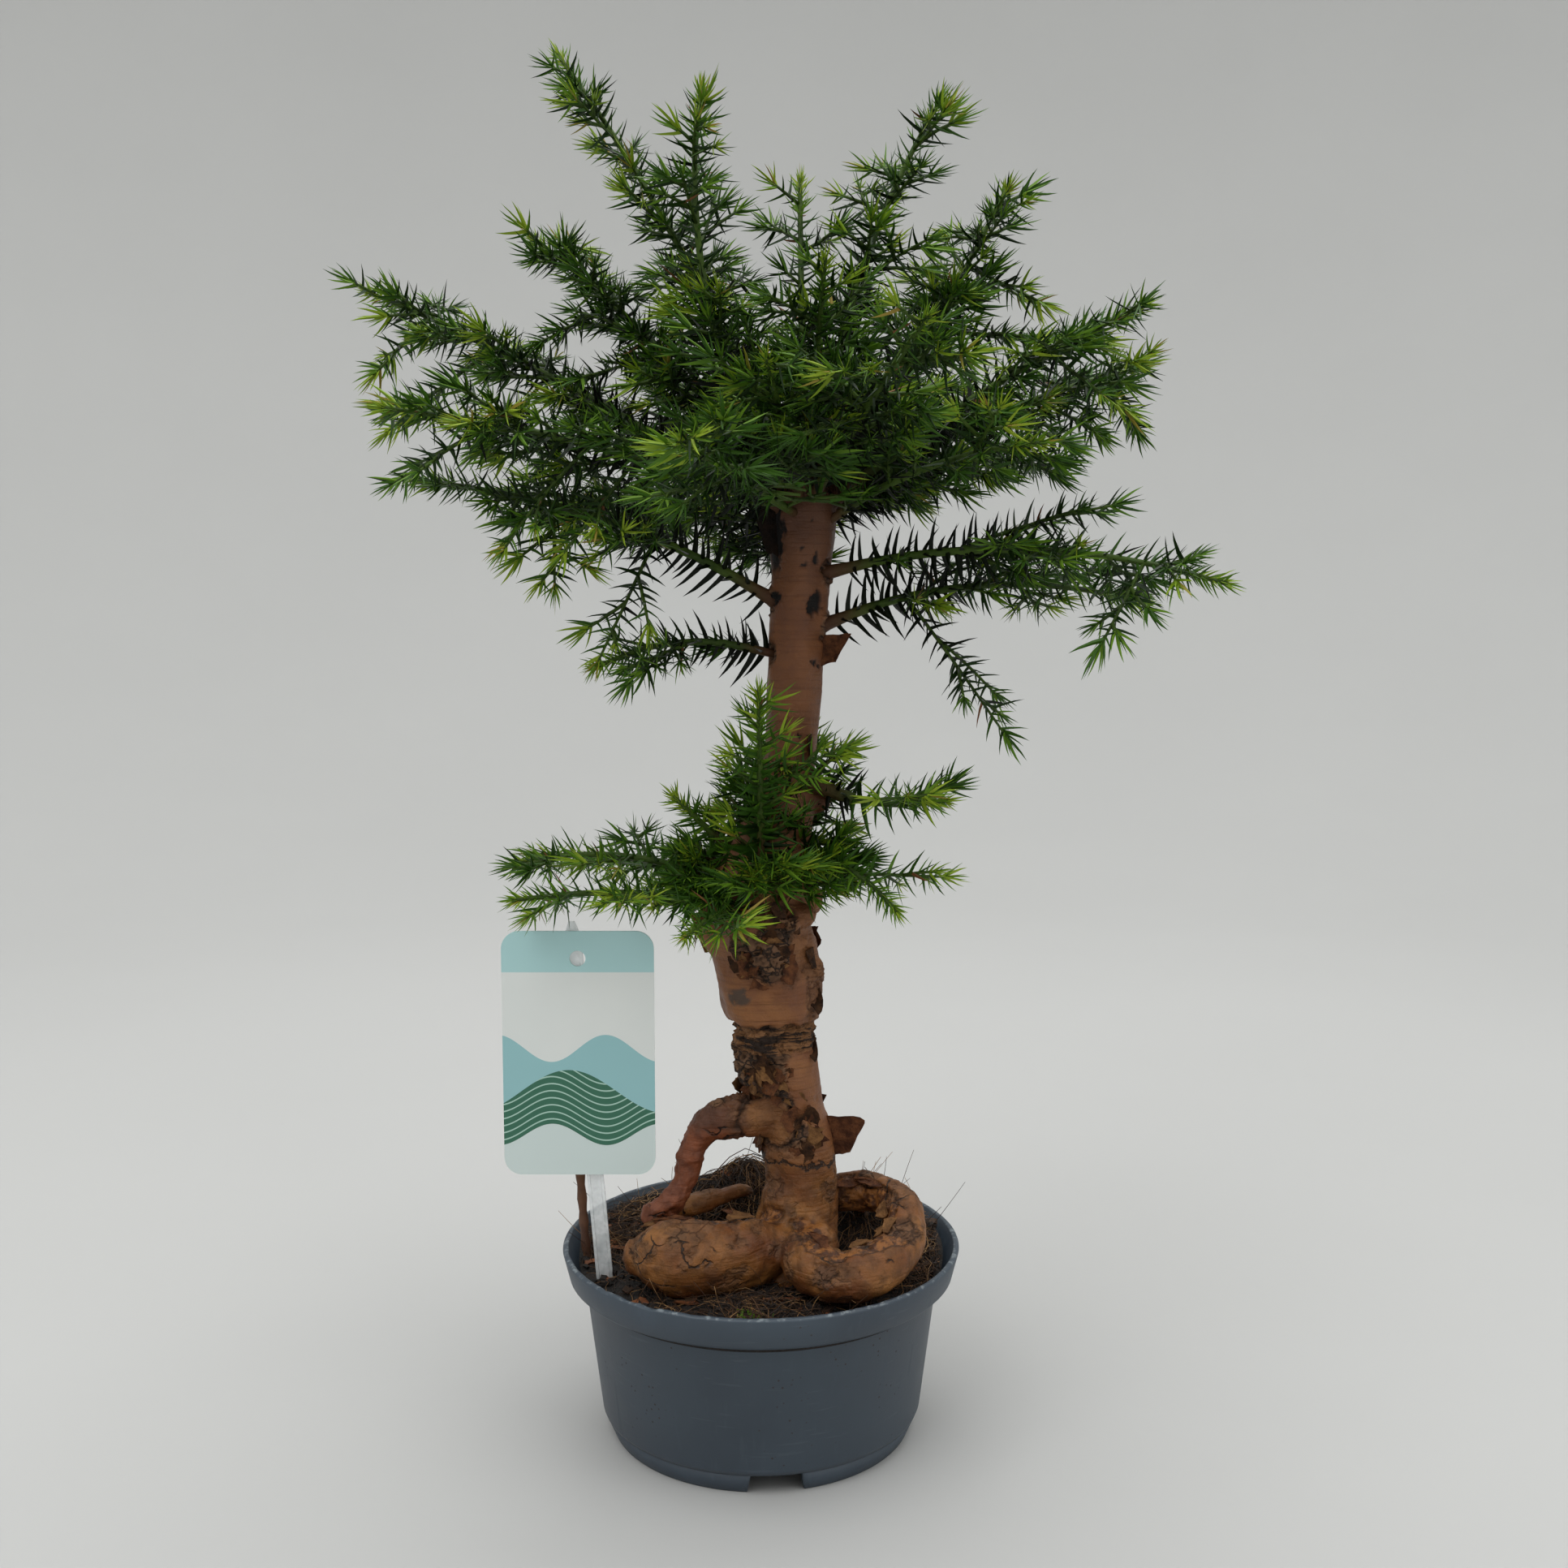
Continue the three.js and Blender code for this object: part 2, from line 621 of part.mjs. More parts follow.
// The side twigs of a shoot: left and right in turn, shorter towards its tip, then its long sprays.
function sideTwigs(shoot, start) {
  const twigs = [];
  const first = Math.max(start + TWIGS.clearStart, shoot.length * TWIGS.first);
  const count = Math.floor((shoot.length - first) / TWIGS.spacing);
  for (let i = 0; i < count; i++) {
    const distance = first + TWIGS.spacing * (i + TWIGS.spacingSpread * shoot.random());
    const side = i % 2 ? 1 : -1;
    const lean = TWIGS.lean + TWIGS.leanSpread * shoot.random();
    const roll = side * (TWIGS.roll + TWIGS.rollSpread * shoot.random());
    const shortening = 1 - TWIGS.tipShortening * distance / shoot.length;
    const chance = TWIGS.shortest + TWIGS.lengthSpread * shoot.random();
    const length = TWIGS.length * shortening * chance;
    const { point, along } = placeOn(shoot.path, distance);
    const way = leaning(along, lean, roll);
    const twist = TWIGS.twist * (2 * shoot.random() - 1);
    twigs.push({ point, way, length, spread: steadySide(way).applyAxisAngle(way, degrees(twist)) });
  }
  for (const [share, bearing, rise, length] of shoot.sprays ?? []) {
    const { point } = placeOn(shoot.path, share * shoot.length);
    const way = heading(bearing, rise);
    twigs.push({ point, way, length, spread: steadySide(way) });
  }
  return twigs;
}

// A place on the plane of a twig's spray: across the twig and along it.
function onSpray(twig, across, along) {
  return twig.point.clone().addScaledVector(twig.spread, across).addScaledVector(twig.way, along);
}

// One side of a spray's outline from root to tip, with a tooth wherever there is room for one.
function teethAlong(twig, side, owner) {
  const outline = [];
  const leafy = twig.length - SPRAY.root;
  const count = Math.max(1, Math.round(leafy / SPRAY.toothSpacing));
  for (let i = 0; i < count; i++) {
    const foot = SPRAY.root + leafy * i / count;
    const reach = lerp(SPRAY.long, SPRAY.short, i / count);
    const across = side * reach * Math.sin(degrees(SPRAY.lean));
    const along = foot + reach * Math.cos(degrees(SPRAY.lean));
    outline.push(new THREE.Vector2(side * SPRAY.rib, foot));
    const [from, to] = [onSpray(twig, 0, foot + SPRAY.rib), onSpray(twig, across, along)];
    if (claim(from, to, 2 * SPRAY.rib, owner)) outline.push(new THREE.Vector2(across, along));
  }
  outline.push(new THREE.Vector2(side * SPRAY.rib, twig.length));
  return outline;
}

// A side twig with its needles as one flat toothed blade, or nothing where it has no room.
function spraySolid(twig, owner) {
  const tip = twig.length + SPRAY.short;
  if (!claim(onSpray(twig, 0, STEM.radius), onSpray(twig, 0, tip), SPRAY.rib, owner)) return [];
  const outline = new THREE.Shape([
    new THREE.Vector2(SPRAY.rib, 0),
    ...teethAlong(twig, 1, owner),
    new THREE.Vector2(0, tip),
    ...teethAlong(twig, -1, owner).reverse(),
    new THREE.Vector2(-SPRAY.rib, 0),
  ]);
  const blade = new THREE.ExtrudeGeometry(outline, { depth: SPRAY.thickness, bevelEnabled: false });
  blade.translate(0, 0, -SPRAY.thickness / 2);
  const facing = twig.spread.clone().cross(twig.way);
  blade.applyMatrix4(new THREE.Matrix4().makeBasis(twig.spread, twig.way, facing).setPosition(twig.point));
  return [solidOf(blade)];
}

// A stretch of a shoot as a tapering tube.
function stretch(shoot, start, end, radius, tipRadius, sides) {
  const path = pathBetween(shoot.path, start, end);
  const radiusAt = (ring) => lerp(radius, tipRadius, ring / (path.length - 1));
  return bentCylinder(path, framesAlong(path), radiusAt, sides);
}

// The bare limb from the trunk to the foliage, or that limb grown by a clearance.
function limbSolid(shoot, extra) {
  return stretch(shoot, 0, shoot.bare + extra, LIMB.radius + extra, STEM.radius + extra, LIMB.sides);
}

// The leafy part of a shoot: its stem with the side twigs and all needles fused on.
function foliageSolid(shoot) {
  const start = Math.max(shoot.bare - STEM.radius, 0);
  const solids = [stretch(shoot, start, shoot.length, STEM.radius, STEM.tipRadius, STEM.sides)];
  for (const twig of sideTwigs(shoot, start)) solids.push(...spraySolid(twig, shoot.name));
  const leafy = pathBetween(shoot.path, start, shoot.length);
  solids.push(...needlesOn(leafy, shoot.length - start, shoot.name));
  const mass = wasm.Manifold.union(solids).subtract(trunkCutter);
  return largestBody(shoot.bare > 0 ? mass.subtract(limbSolid(shoot, CLEARANCE)) : mass);
}

const shoots = Object.entries(SHOOTS).map(([name, shoot], i) => (
  { name, ...shoot, path: shootPath(shoot), random: seededNumbers(i) }
));

// The trunk, the label and every stem have their place before the first twig grows.
trunkPath.slice(1).forEach((point, i) => {
  take([trunkPath[i], point], Math.max(TRUNK[i][3], TRUNK[i + 1][3]), 'trunk');
});
const labelTop = new THREE.Vector3(LABEL_STEM.topX, stemY, LABEL_STEM.topHeight);
take([new THREE.Vector3(...LABEL.centre), labelTop], LABEL_STEM.width, 'label');
shoots.forEach((shoot) => take(shoot.path, LIMB.radius, shoot.name));

for (const shoot of shoots) {
  if (shoot.bare > 0) {
    const limb = limbSolid(shoot, 0).subtract(trunkCutter);
    addPart(`bough_${shoot.name}`, largestBody(limb), MATERIALS.limb);
  }
  addPart(`foliage_${shoot.name}`, foliageSolid(shoot), MATERIALS.foliage);
}

export default plant;
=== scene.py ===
# The looks of a hoop pine bonsai in a low nursery pot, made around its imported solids.
# Lengths are in millimetres and angles in degrees, as in the plant's construction. MM turns them into metres.
import math

import bmesh
import bpy
import numpy as np
from mathutils import Matrix, Vector, noise


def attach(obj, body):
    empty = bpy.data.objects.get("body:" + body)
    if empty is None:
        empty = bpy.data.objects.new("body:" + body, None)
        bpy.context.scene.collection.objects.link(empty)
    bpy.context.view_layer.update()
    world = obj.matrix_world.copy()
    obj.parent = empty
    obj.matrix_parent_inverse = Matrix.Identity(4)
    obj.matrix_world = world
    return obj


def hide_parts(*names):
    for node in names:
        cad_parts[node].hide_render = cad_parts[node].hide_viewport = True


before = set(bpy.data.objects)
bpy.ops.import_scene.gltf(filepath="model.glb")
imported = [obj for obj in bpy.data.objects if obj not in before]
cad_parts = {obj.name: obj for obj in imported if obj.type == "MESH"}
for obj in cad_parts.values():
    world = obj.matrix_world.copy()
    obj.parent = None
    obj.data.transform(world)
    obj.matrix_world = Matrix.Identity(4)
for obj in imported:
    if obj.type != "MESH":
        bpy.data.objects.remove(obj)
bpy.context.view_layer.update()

MM = 0.001
UP = Vector((0, 0, 1))
NEARLY_UPRIGHT = 0.2
# Corners nearer to each other than this, in metres, become one.
SAME_PLACE = 1e-6

# Pot

POT = {
    "rim": 75.0, "height": 71.0, "lip": 3.8, "lip_top": 2.2, "collar": 12.0, "step": 4.6, "taper": 2.4,
    "bend": 2.0, "wall": 1.5, "floor": 58.3, "edge": 0.4, "chamfer": 0.6, "crease": 0.5, "sides": 160,
}
FOOT = {
    "radius": 56.7, "height": 8.0, "wall": 2.4, "draft": 0.6, "splay": 3.9, "ring_splay": 0.82, "edge": 0.5,
    "sides": 30,
}
DRAIN = {"count": 4, "bearing": 276, "width": 20.6, "top_width": 17.5}
# Nicks in the lip, which is torn about one bearing.
NICKS = {
    "below_top": 0.6, "density": 180, "rarity": 0.1, "depth": 0.5, "torn_depth": 2.2, "torn_bearing": 205,
    "torn_sharpness": 6,
}

# Soil, which is low at the front wall and reaches the rim at the back

SOIL = {
    "level": 65.0, "edge": 68.6, "flat": 50.0, "front": -3.0, "back": 4.5, "slope": (-40, 20),
    "underside": 56.0, "inset": 2, "overlap": 0.4, "rings": 70, "sides": 200,
}
# Crumbs in the ground: height, and for each kind how often they come in a metre and their noise's octaves.
CRUMBS = {"height": 1.1, "coarse": (160, 4), "fine": (600, 3), "fine_share": 0.5}
# Heaps of fibre: x, y, spread, height.
HEAPS = [
    (4, 34, 20, 17), (-24, 23, 15, 14), (-9, 33, 11, 8), (40, 15, 13, 21), (-46, 26, 15, 4), (61, -18, 9, 3),
    (62, 8, 9, 4), (-54, 4, 10, 3), (-5, -60, 16, 1),
]
# Threads of root that lie on the ground. They wander by angles in radians.
FIBRES = {
    "seed": 5, "strewn": 700, "heaped": 1900, "points": (6, 12), "fewest": 4, "step": 3.2, "lift": 0.3,
    "more_lift": 2.5, "wander": 0.5, "waver": 0.7, "thin": 0.13, "thicker": 0.25, "sides": 3,
    "shares": (0.2, 0.35, 0.45),
}
# Stiff hairs that stand up near the rim.
HAIRS = {
    "count": 130, "inner": 36, "band": 31, "outward": 0.7, "scatter": 0.45, "least_rise": 0.3, "bow": 0.6,
    "short": 6, "longer": 11, "foot": 0.17, "tip": 0.09, "points": 9,
}
# Chips of bark and crumbs of peat, turned and tilted by angles in radians.
CHIPS = {
    "seed": 8, "count": 900, "reach": 67, "crumb_share": 0.75, "crumb": (0.5, 1.5),
    "smallest": (1.6, 0.8, 0.25), "largest": (4.5, 2.2, 0.7), "uneven": (0.6, 1.2), "turn": 6.28,
    "tilt": 0.4, "lift": 0.6,
}
MOSS = {
    "seed": 3, "leaves": 46, "centre": (-3, -60), "spread": (4, 2.2), "rise": 25, "more_rise": 50,
    "short": 1.6, "longer": 1.8, "width": 0.3,
}
# Shades of fibres and chips: name, darkest and lightest colour.
FIBRE_SHADES = [
    ("fibre_pale", "7a5632", "98744a"), ("fibre_brown", "3c2615", "573a20"),
    ("fibre_dark", "20130b", "382414"),
]
CHIP_SHADES = [("chip_red", "5a3018", "7e4a26"), ("chip_brown", "2c1b0f", "49301b")]

# Trunk and roots

# Height, centre x and y, radius.
TRUNK = [
    (65.3, 11, -15, 19), (76, 12, -13, 16.5), (88, 13.5, -9, 14), (99, 14.5, -6, 13), (113, 13.5, -5, 14.3),
    (128, 9, -5, 14.2), (143, 5.5, -5, 15.4), (153, 5, -5, 14.8), (163, 3, -5, 17.6), (180, 1.5, -5, 19.8),
    (196, -1.5, -4, 20.5), (209, -0.5, -3, 18), (224, 4, -2, 14.2), (240, 8.5, -1, 11.4), (262, 11, 0, 9.8),
    (290, 12.5, 0, 10.2), (322, 15, 0, 11.2), (346, 16, 0, 12.4), (358, 16.5, 0, 10.8),
]
TRUNK_LOW, TRUNK_HIGH = TRUNK[0][0], TRUNK[-1][0]
# Points of each root's centre line with the radius there.
ROOTS = {
    "root_left": [
        (5, -21, 76, 10.5), (-7, -32, 77.5, 13), (-22, -37, 78, 13.8), (-34, -36, 77.5, 13),
        (-42, -32, 76.5, 8.2),
    ],
    "root_loop_front": [(15, -29, 79, 7.5), (18, -43, 77, 9.6), (30, -50, 76, 9.4), (45, -43, 79, 9)],
    "root_loop_back": [
        (45, -43, 79, 9), (51.5, -31, 82.5, 8.6), (51, -13, 88, 8), (41, 0, 88.5, 7.2), (28, 3, 87, 6.4),
    ],
    "root_arch": [
        (4, -8, 121, 8.6), (-9, -13, 121.5, 8), (-18.5, -13, 119.5, 6.2), (-24, -14, 113, 4.8),
        (-26.5, -15.5, 104, 5.2), (-29.5, -18, 96.5, 4.9), (-34.5, -20, 90, 5.7), (-39, -21.5, 87.5, 5),
    ],
    "root_spur": [(-38, -16, 86, 3.4), (-25, -6, 86, 3.7), (-13, 2, 87, 3.4), (-6, 6, 87, 2.4)],
}
# Knobs on the trunk: centre and half sizes.
KNOBS = [
    (-4, -14, 122.5, 11, 6.5, 6.8), (19, -10.5, 178, 4.6, 4, 4.8), (5.5, -22.5, 183, 5.5, 3, 4),
    (7, -21.5, 195, 8, 4, 5), (14.5, -16.5, 198, 6, 5, 5), (-3, -22, 200, 5, 3.5, 4),
    (-16.5, -9, 191, 6, 7, 9), (18.5, 1, 201, 5, 6, 6), (19.5, -3, 238, 6.5, 3.6, 4.2),
    (20, -25, 77, 9, 8, 9), (-26, -15, 108, 5.9, 5.9, 2.4), (-19, -13, 120, 6.6, 6.6, 3),
    (-31, -18.5, 94.5, 5.6, 5.6, 2.2), (-15.5, -14, 126, 4.4, 4.4, 4.4),
]
# The skin reaches below the trunk's cut, into the soil. Its flutes are shares of the radius.
TRUNK_SKIN = {"sunk": 3, "wide_flutes": 0.04, "narrow_flutes": 0.03, "around": 64, "along": 160}
ROOT_SKIN = {"steps": 10, "around": 32, "end": 0.98}
SKIN = {"voxel": 0.8, "passes": 6, "smoothing": 0.5}

# Bark

# Marks on the front of the trunk: height, share across it, half width, half height, depth.
WOUNDS = [
    (310.5, 0.5, 2.4, 4.6, 1.3), (341.4, 0.22, 0.8, 1.4, 0.5), (331.3, 0.0, 1.5, 0.8, 0.4),
    (324.4, 0.05, 1.5, 1.1, 0.5), (327, 0.42, 1.2, 2.2, 0.6), (289, 0.76, 1.5, 1.2, 0.5),
    (338, -0.98, 4.6, 17, 1.2), (139, -0.36, 7, 2.6, 2.2), (262, 0.3, 1.2, 1.0, 0.4),
    (313, -0.8, 2.6, 2.2, 0.4),
]
GREY_PATCH = (169, -0.53, 4.2, 3.2)
MARK_EDGE = (0.75, 1.15)
# A smooth swelling on the left of the trunk, where the arching root leaves it.
CHEEK = {
    "centre": (2.5, -19, 121), "reach": 11, "inner": 0.75, "root": 0.7, "smooth": 0.85, "crease_width": 0.8,
    "front": (0, 6),
}
# Dark scars on the roots: centre and reach.
SCARS = [
    (52, -37, 88, 8), (23.3, -57, 79, 6), (-28.6, -44, 87.4, 5), (-43, -38, 82, 6), (33, -45, 85, 5),
    (40, -1, 95, 6),
]
# Torn inner sides of the thick roots: the point that each faces and the rise of its torn edge.
LIPS = {"root_left": (-14, 60, 92), "root_loop_front": (33, -22, 112), "root_loop_back": (33, -22, 66)}
# The torn edge, as angles round the root: how far it wanders, half the width of its crack, which shares one
# mark with painted shadow lines, and where it ends.
# Near says how far from the line the root's own skin ends, in radii.
LIP_EDGE = {"wander": 26, "crack_and_shadow": 4.0, "top": (-6, 0), "under": (-130, -100), "near": (1.25, 1.45)}
# Heights between which the bark has fine level rings, and the distance from one to the next.
RINGS, RING_STEP = (146, 158.5), 2.7
# The heights in which they come in and fade out.
RING_ENDS = (3, 1.5)
# Heights between which each kind of bark comes in or fades out.
HEIGHTS = {
    "roots_end": (96, 112), "beside_end": (120, 135), "left_start": (106, 116), "left_end": (151, 156),
    "right_start": (156, 160), "right_end": (176, 184), "knobby_start": (172, 178), "knobby_end": (198, 206),
    "head_start": (349, 353), "coarse_end": (200, 225), "ring_edge_start": (157.6, 158.6),
    "ring_edge_end": (160, 172),
}
# Shares across the trunk, from -1 at the left to 1 at the right, between which it does so.
ACROSS = {
    "left_end": (0.25, 0.4), "right_start": (0.62, 0.75), "knobby_start": (-0.2, 0.0),
    "knobby_thin": (0.5, 0.65), "crease_end": (0.3, 0.5),
}
# Distances between which bark changes: from the arching root's line, from the foot of a collared shoot, and
# from the trunk's middle to a root beside it, in radii.
ARCH_EDGE, COLLAR_EDGE, BESIDE_EDGE = (7, 9), (4.5, 6.5), (1.12, 1.4)
# Steps from one point of a root's line to the next, and how many of the arch's lie in the trunk.
ROOT_STEPS, ARCH_FOOT = 6, 4
# How far noise moves the edges of each kind of bark. A pair is for the fine noise and the grit.
WAVER = {
    "across": 0.5, "rings": 1.5, "ring_waves": 1.6, "ring_edge": 1.2, "knobby": 4, "left": 3, "head": 4,
    "collar": 2, "scar": (3, 1.5), "crease": 2, "wound": (1.6, 1.2), "grey": 0.1,
}
# How strong each kind is, and how far knobs thin out at the right and the painted shadows at the foot of bark
# steps in the rings.
STRENGTH = {"collar": 0.9, "right": 0.5, "patches": 0.55, "scars": 0.8, "thin_knobs": 0.8, "thin_step_shadows": 0.8}
# Where torn patches start in their noise, the middle of a scar, and where the trunk's front starts, in radii.
PATCH_EDGE, SCAR_MIDDLE, FRONT = (0.2, 0.32), 0.6, (-0.3, 0.2)
# How much of the fine relief there is on smooth bark, and how much grit roots add.
SMOOTH = {"fine": 0.35, "grit": 0.2, "root_grit": 0.5}
# Heights of the kinds of relief.
RELIEF = {
    "broad": 0.6, "broad_below": 0.6, "fine": 0.3, "grit": 0.22, "layers": 3.4, "tears": 0.6, "scars": 1.8,
    "lip_grain": 0.9, "lip": 1.1, "lip_edge": 0.6, "crease": 1.2, "arch_fine": 0.3, "arch_grit": 0.25,
    "rings": 0.5, "ring_sink": 0.6, "ring_edge": 0.9, "knobs": 1.6, "knob_floor": -0.2,
}
# Noise in the relief: size, octaves, and a shift that keeps the patterns apart.
GRAINS = {
    "broad": (22, 4, 0), "fine": (5, 4, 0), "grit": (1.9, 3, 0), "patches": (13, 4, 17), "layers": (12, 4, 0),
    "lip_edge": (14, 4, 0), "lip": (4, 3, 60), "knobs": (7, 3, 40),
}
# Peeling bark is noise cut into steps: how many, how flat they lie, where a step rises, and where its torn
# foot is sunk and darkened with a painted shadow.
LAYERS = {"count": 3, "flatten": 1.7, "rise": (0.82, 1.0), "shadowed_tear": 0.8, "shadowed_tear_width": 0.09}
# Large torn sheets: foot x, y, z, bearing and rise, width along that, height, curl, and shade.
FLAKES = [
    (21.5, -2, 294, 352, 6, 11, 12, 14, 2), (17.5, -7, 259, 320, 20, 7, 8, 40, 0),
    (26, -7, 112.5, 352, 6, 12, 16, 8, 2), (-18, -9, 191, 200, -4, 7, 19, 6, 1),
    (4.5, -5, 338, 200, -5, 6, 21, 25, 3), (19, -11, 181, 330, 25, 6, 8, 60, 0),
    (19.5, -8, 170, 335, -64, 11, 4.5, 35, 0), (18.6, -10, 150, 340, -70, 8, 4, 35, 0),
    (2, -23, 199, 280, 30, 6, 9, 70, 0), (9, -22, 201, 300, 25, 6, 7, 70, 0),
    (-6, -21, 201, 250, 20, 5, 7, 60, 0), (14, -19, 195, 310, 15, 5, 7, 60, 0),
    (-13, 14, 196, 130, 25, 7, 9, 55, 0), (9, 15, 190, 60, 20, 7, 10, 55, 0),
    (19, 8, 235, 25, 15, 7, 10, 30, 0), (10, 10, 300, 95, 5, 9, 12, 20, 0),
    (-7, 9, 140, 120, 15, 7, 9, 50, 1), (16, 9, 118, 50, 10, 8, 10, 35, 0),
    (5, -8, 350, 215, 35, 5, 7, 40, 3), (9, -11, 352, 240, 45, 4, 6, 50, 0),
    (15, -12, 352, 268, 40, 4, 6, 50, 3), (21, -12, 352, 295, 45, 4, 7, 50, 0),
    (27, -7, 351, 330, 35, 5, 7, 40, 0),
]
FLAKE = {"sunk": 1.5, "ragged_end": 0.12, "slant": 0.32, "narrowing": 0.2, "ragged_side": 0.15}
# Scales that peel off rough bark: tries at random places, lowest and highest place on the trunk, sizes.
SCALES = {
    "seed": 12, "tries": 620, "low": 94, "high": 208, "smallest": 3.0, "largest": 7.5, "width": 0.65,
    "roughest": 0.5, "shades": (0, 3),
}
SCALE = {
    "rounding": 0.35, "ragged_end": 0.6, "ragged_side": 0.2, "gap": 0.04, "lift": 0.22, "sunk": 0.4,
    "sunk_side": 0.3,
}
# Strips of split bark along the inner sides of the roots: count on each root, width, half lengths, turns.
STRIPS = {
    "roots": ("root_left", "root_loop_front", "root_loop_back"), "count": 6, "width": 4.0, "halves": (3, 8),
    "turns": (5, 55), "steps": 8, "clear_end": 3, "shades": (1, 3),
}
# The middle of the roots, towards which their strips open.
ROOTS_MIDDLE = (18, -16)
SHEET = {
    "rows": 7, "thickness": 0.35, "most_ragged": 0.6, "coarse": 1.8, "fine": 4.3, "fine_share": 0.5,
    "seed": 3.7,
}
TORN_SHADES = [
    ("bark_torn", "22140c", "4a311f"), ("bark_pale", "553922", "7d5937"),
    ("bark_russet", "3c2216", "684129"), ("bark_char", "080504", "21160f"),
]

# Shoots

# Height, offset, bearing, rise, curl, length, bare length, and long sprays, which have a share of the length,
# a bearing, a rise and a length.
SHOOTS = {
    "leader_left": (352, 6, 163, 69, -16, 186, 42, []),
    "leader_middle": (350, 8, 196, 57, 42, 147, 34, []),
    "leader_back": (352, 6, 92, 71, 4, 127, 36, []),
    "leader_right": (352, 4, 20, 84, -26, 153, 40, []),
    "crown_left_high": (349, 9, 155, 53, -18, 150, 36, []),
    "crown_left_far": (343, 10, 162, 34, -12, 194, 44, [(0.68, 199, -35, 54)]),
    "crown_left_near": (346, 10, 198, 20, -16, 143, 36, [(0.5, 202, -44, 52), (0.75, 209, -35, 40)]),
    "crown_right_high": (349, 9, 27, 53, 8, 143, 36, []),
    "crown_right_near": (347, 10, 342, 38, -16, 129, 34, []),
    "crown_right_far": (343, 10, 8, 38, -26, 133, 34, []),
    "crown_right_low": (340, 10, 325, 30, -30, 91, 0, []),
    "crown_front_right": (348, 9, 286, 24, -6, 124, 28, []),
    "crown_front_high": (353, 5, 276, 56, -4, 86, 0, []),
    "crown_front_left": (343, 10, 252, 7, 0, 115, 0, []),
    "crown_front": (347, 9, 262, 28, -8, 93, 0, []),
    "crown_back_left": (349, 9, 121, 38, -18, 128, 0, []),
    "crown_back_right": (348, 9, 62, 34, -14, 128, 0, []),
    "crown_back": (343, 9, 93, 22, -16, 115, 0, []),
    "crown_back_low_left": (339, 9, 137, 12, -12, 130, 0, []),
    "crown_back_low_right": (341, 9, 42, 26, -18, 122, 0, []),
    "middle_left": (312, 9, 188, 32, -28, 136, 24, [(0.36, 222, -60, 56), (0.64, 280, -65, 34)]),
    "middle_left_low": (293, 9, 186, 18, -45, 66, 0, []),
    "middle_right": (322, 9, 341, 14, -32, 144, 20, [(0.34, 348, 22, 58), (0.8, 214, -56, 32)]),
    "middle_right_low": (303, 9, 0, 24, -40, 121, 20, [(0.27, 332, -50, 56)]),
    "middle_back": (320, 9, 101, 26, -24, 92, 0, []),
    "low_left": (209, 15, 181, 23, -36, 77, 0, []),
    "low_left_near": (202, 16, 207, 14, -18, 79, 0, []),
    "low_front_left": (202, 17, 248, 4, -16, 47, 0, []),
    "low_front": (214, 14, 268, 74, 4, 69, 0, []),
    "low_left_high": (218, 12, 196, 47, -4, 33, 0, []),
    "low_right": (246, 8, 337, -23, 36, 56, 18, []),
    "low_right_near": (218, 12, 325, 9, -56, 49, 0, []),
    "low_back": (217, 12, 80, 16, -16, 72, 0, []),
    "low_back_left": (204, 15, 131, 8, -12, 62, 0, []),
}
# More long sprays, which close the gaps between the shoots of the crown.
GAP_SPRAYS = {
    "crown_left_far": [(0.42, 206, -38, 44), (0.55, 214, -48, 42), (0.84, 205, -45, 34)],
    "crown_left_near": [(0.38, 214, -50, 40), (0.64, 196, 30, 34)],
    "crown_left_high": [(0.5, 190, -20, 40), (0.7, 205, -35, 34)],
    "crown_right_near": [(0.5, 322, -28, 38), (0.72, 350, -40, 34)],
    "crown_right_far": [(0.45, 338, -30, 42), (0.66, 330, -25, 36), (0.85, 345, -45, 28)],
    "crown_right_high": [(0.55, 340, -10, 40), (0.75, 350, -25, 32)],
}
# Shoots whose foot on the trunk has a collar of torn bark.
COLLARS = ("middle_left", "middle_left_low", "middle_right", "middle_right_low", "low_right")
# What a bough's foot adds to its radius, and the distance in which that fades.
BOUGH_FOOT = (1.8, 5)
THICK_FEET = {"low_right": (4.2, 9)}
# Shoots that are joined into one piece of needles, by the start of their names.
REGIONS = ["leader", "crown_left", "crown_right", "crown_front", "crown_back", "middle", "low"]

# Young bark is brown where it leaves the trunk, and green past these distances.
BROWN = {"start": 1, "twigs": 12, "boughs": 20}
# The whole numbers of the generator that varies the shoots.
SEEDS = {"spread": 2654435761, "factor": 1664525, "step": 1013904223, "size": 2**32}
# Stems: step of the line, radii, how far they reach into what carries them, and sides.
STEM = {
    "step": 24, "line_steps": 4, "point_gap": 5, "limb": 2.2, "radius": 1.7, "tip": 0.8, "twig": 0.8,
    "twig_tip": 0.45, "sunk": 4, "overlap": 2, "limb_sides": 12, "sides": 8, "twig_sides": 5,
}
TWIGS = {
    "first": 0.26, "clear_start": 4, "spacing": 26, "spacing_spread": 0.6, "length": 46, "shortest": 0.7,
    "length_spread": 0.5, "tip_shortening": 0.6, "lean": 44, "lean_spread": 18, "roll": 62, "roll_spread": 56,
    "twist": 35, "root": 2.5,
}
# Finer twigs between the side twigs, by a shoot's name or its first word: distance apart, longest.
BETWEEN = {"leader": (14, 60), "crown": (6, 60), "middle": (16, 60), "low": (36, 60), "low_front": (6, 15)}
FINER = {"spacing_spread": 0.8, "shortest": 0.5, "past_tip": 6}
# Small twigs on the sides of long ones.
FORKS = {
    "from": 18, "shares": (0.3, 0.5, 0.72), "length": 0.65, "longer": 5, "lean": 48, "lean_spread": 14,
    "age": 0.8,
}
# How a twig bows, as shares of its length.
BOW = {"most": 0.3, "rise": 0.7, "sag": 0.45, "points": 5}
# Shoots whose stems have several times the needles of the rest.
BUSHY = {"low_front": 3, "low_front_left": 2, "low_left_high": 2, "low_right_near": 2, "crown_front_high": 2}
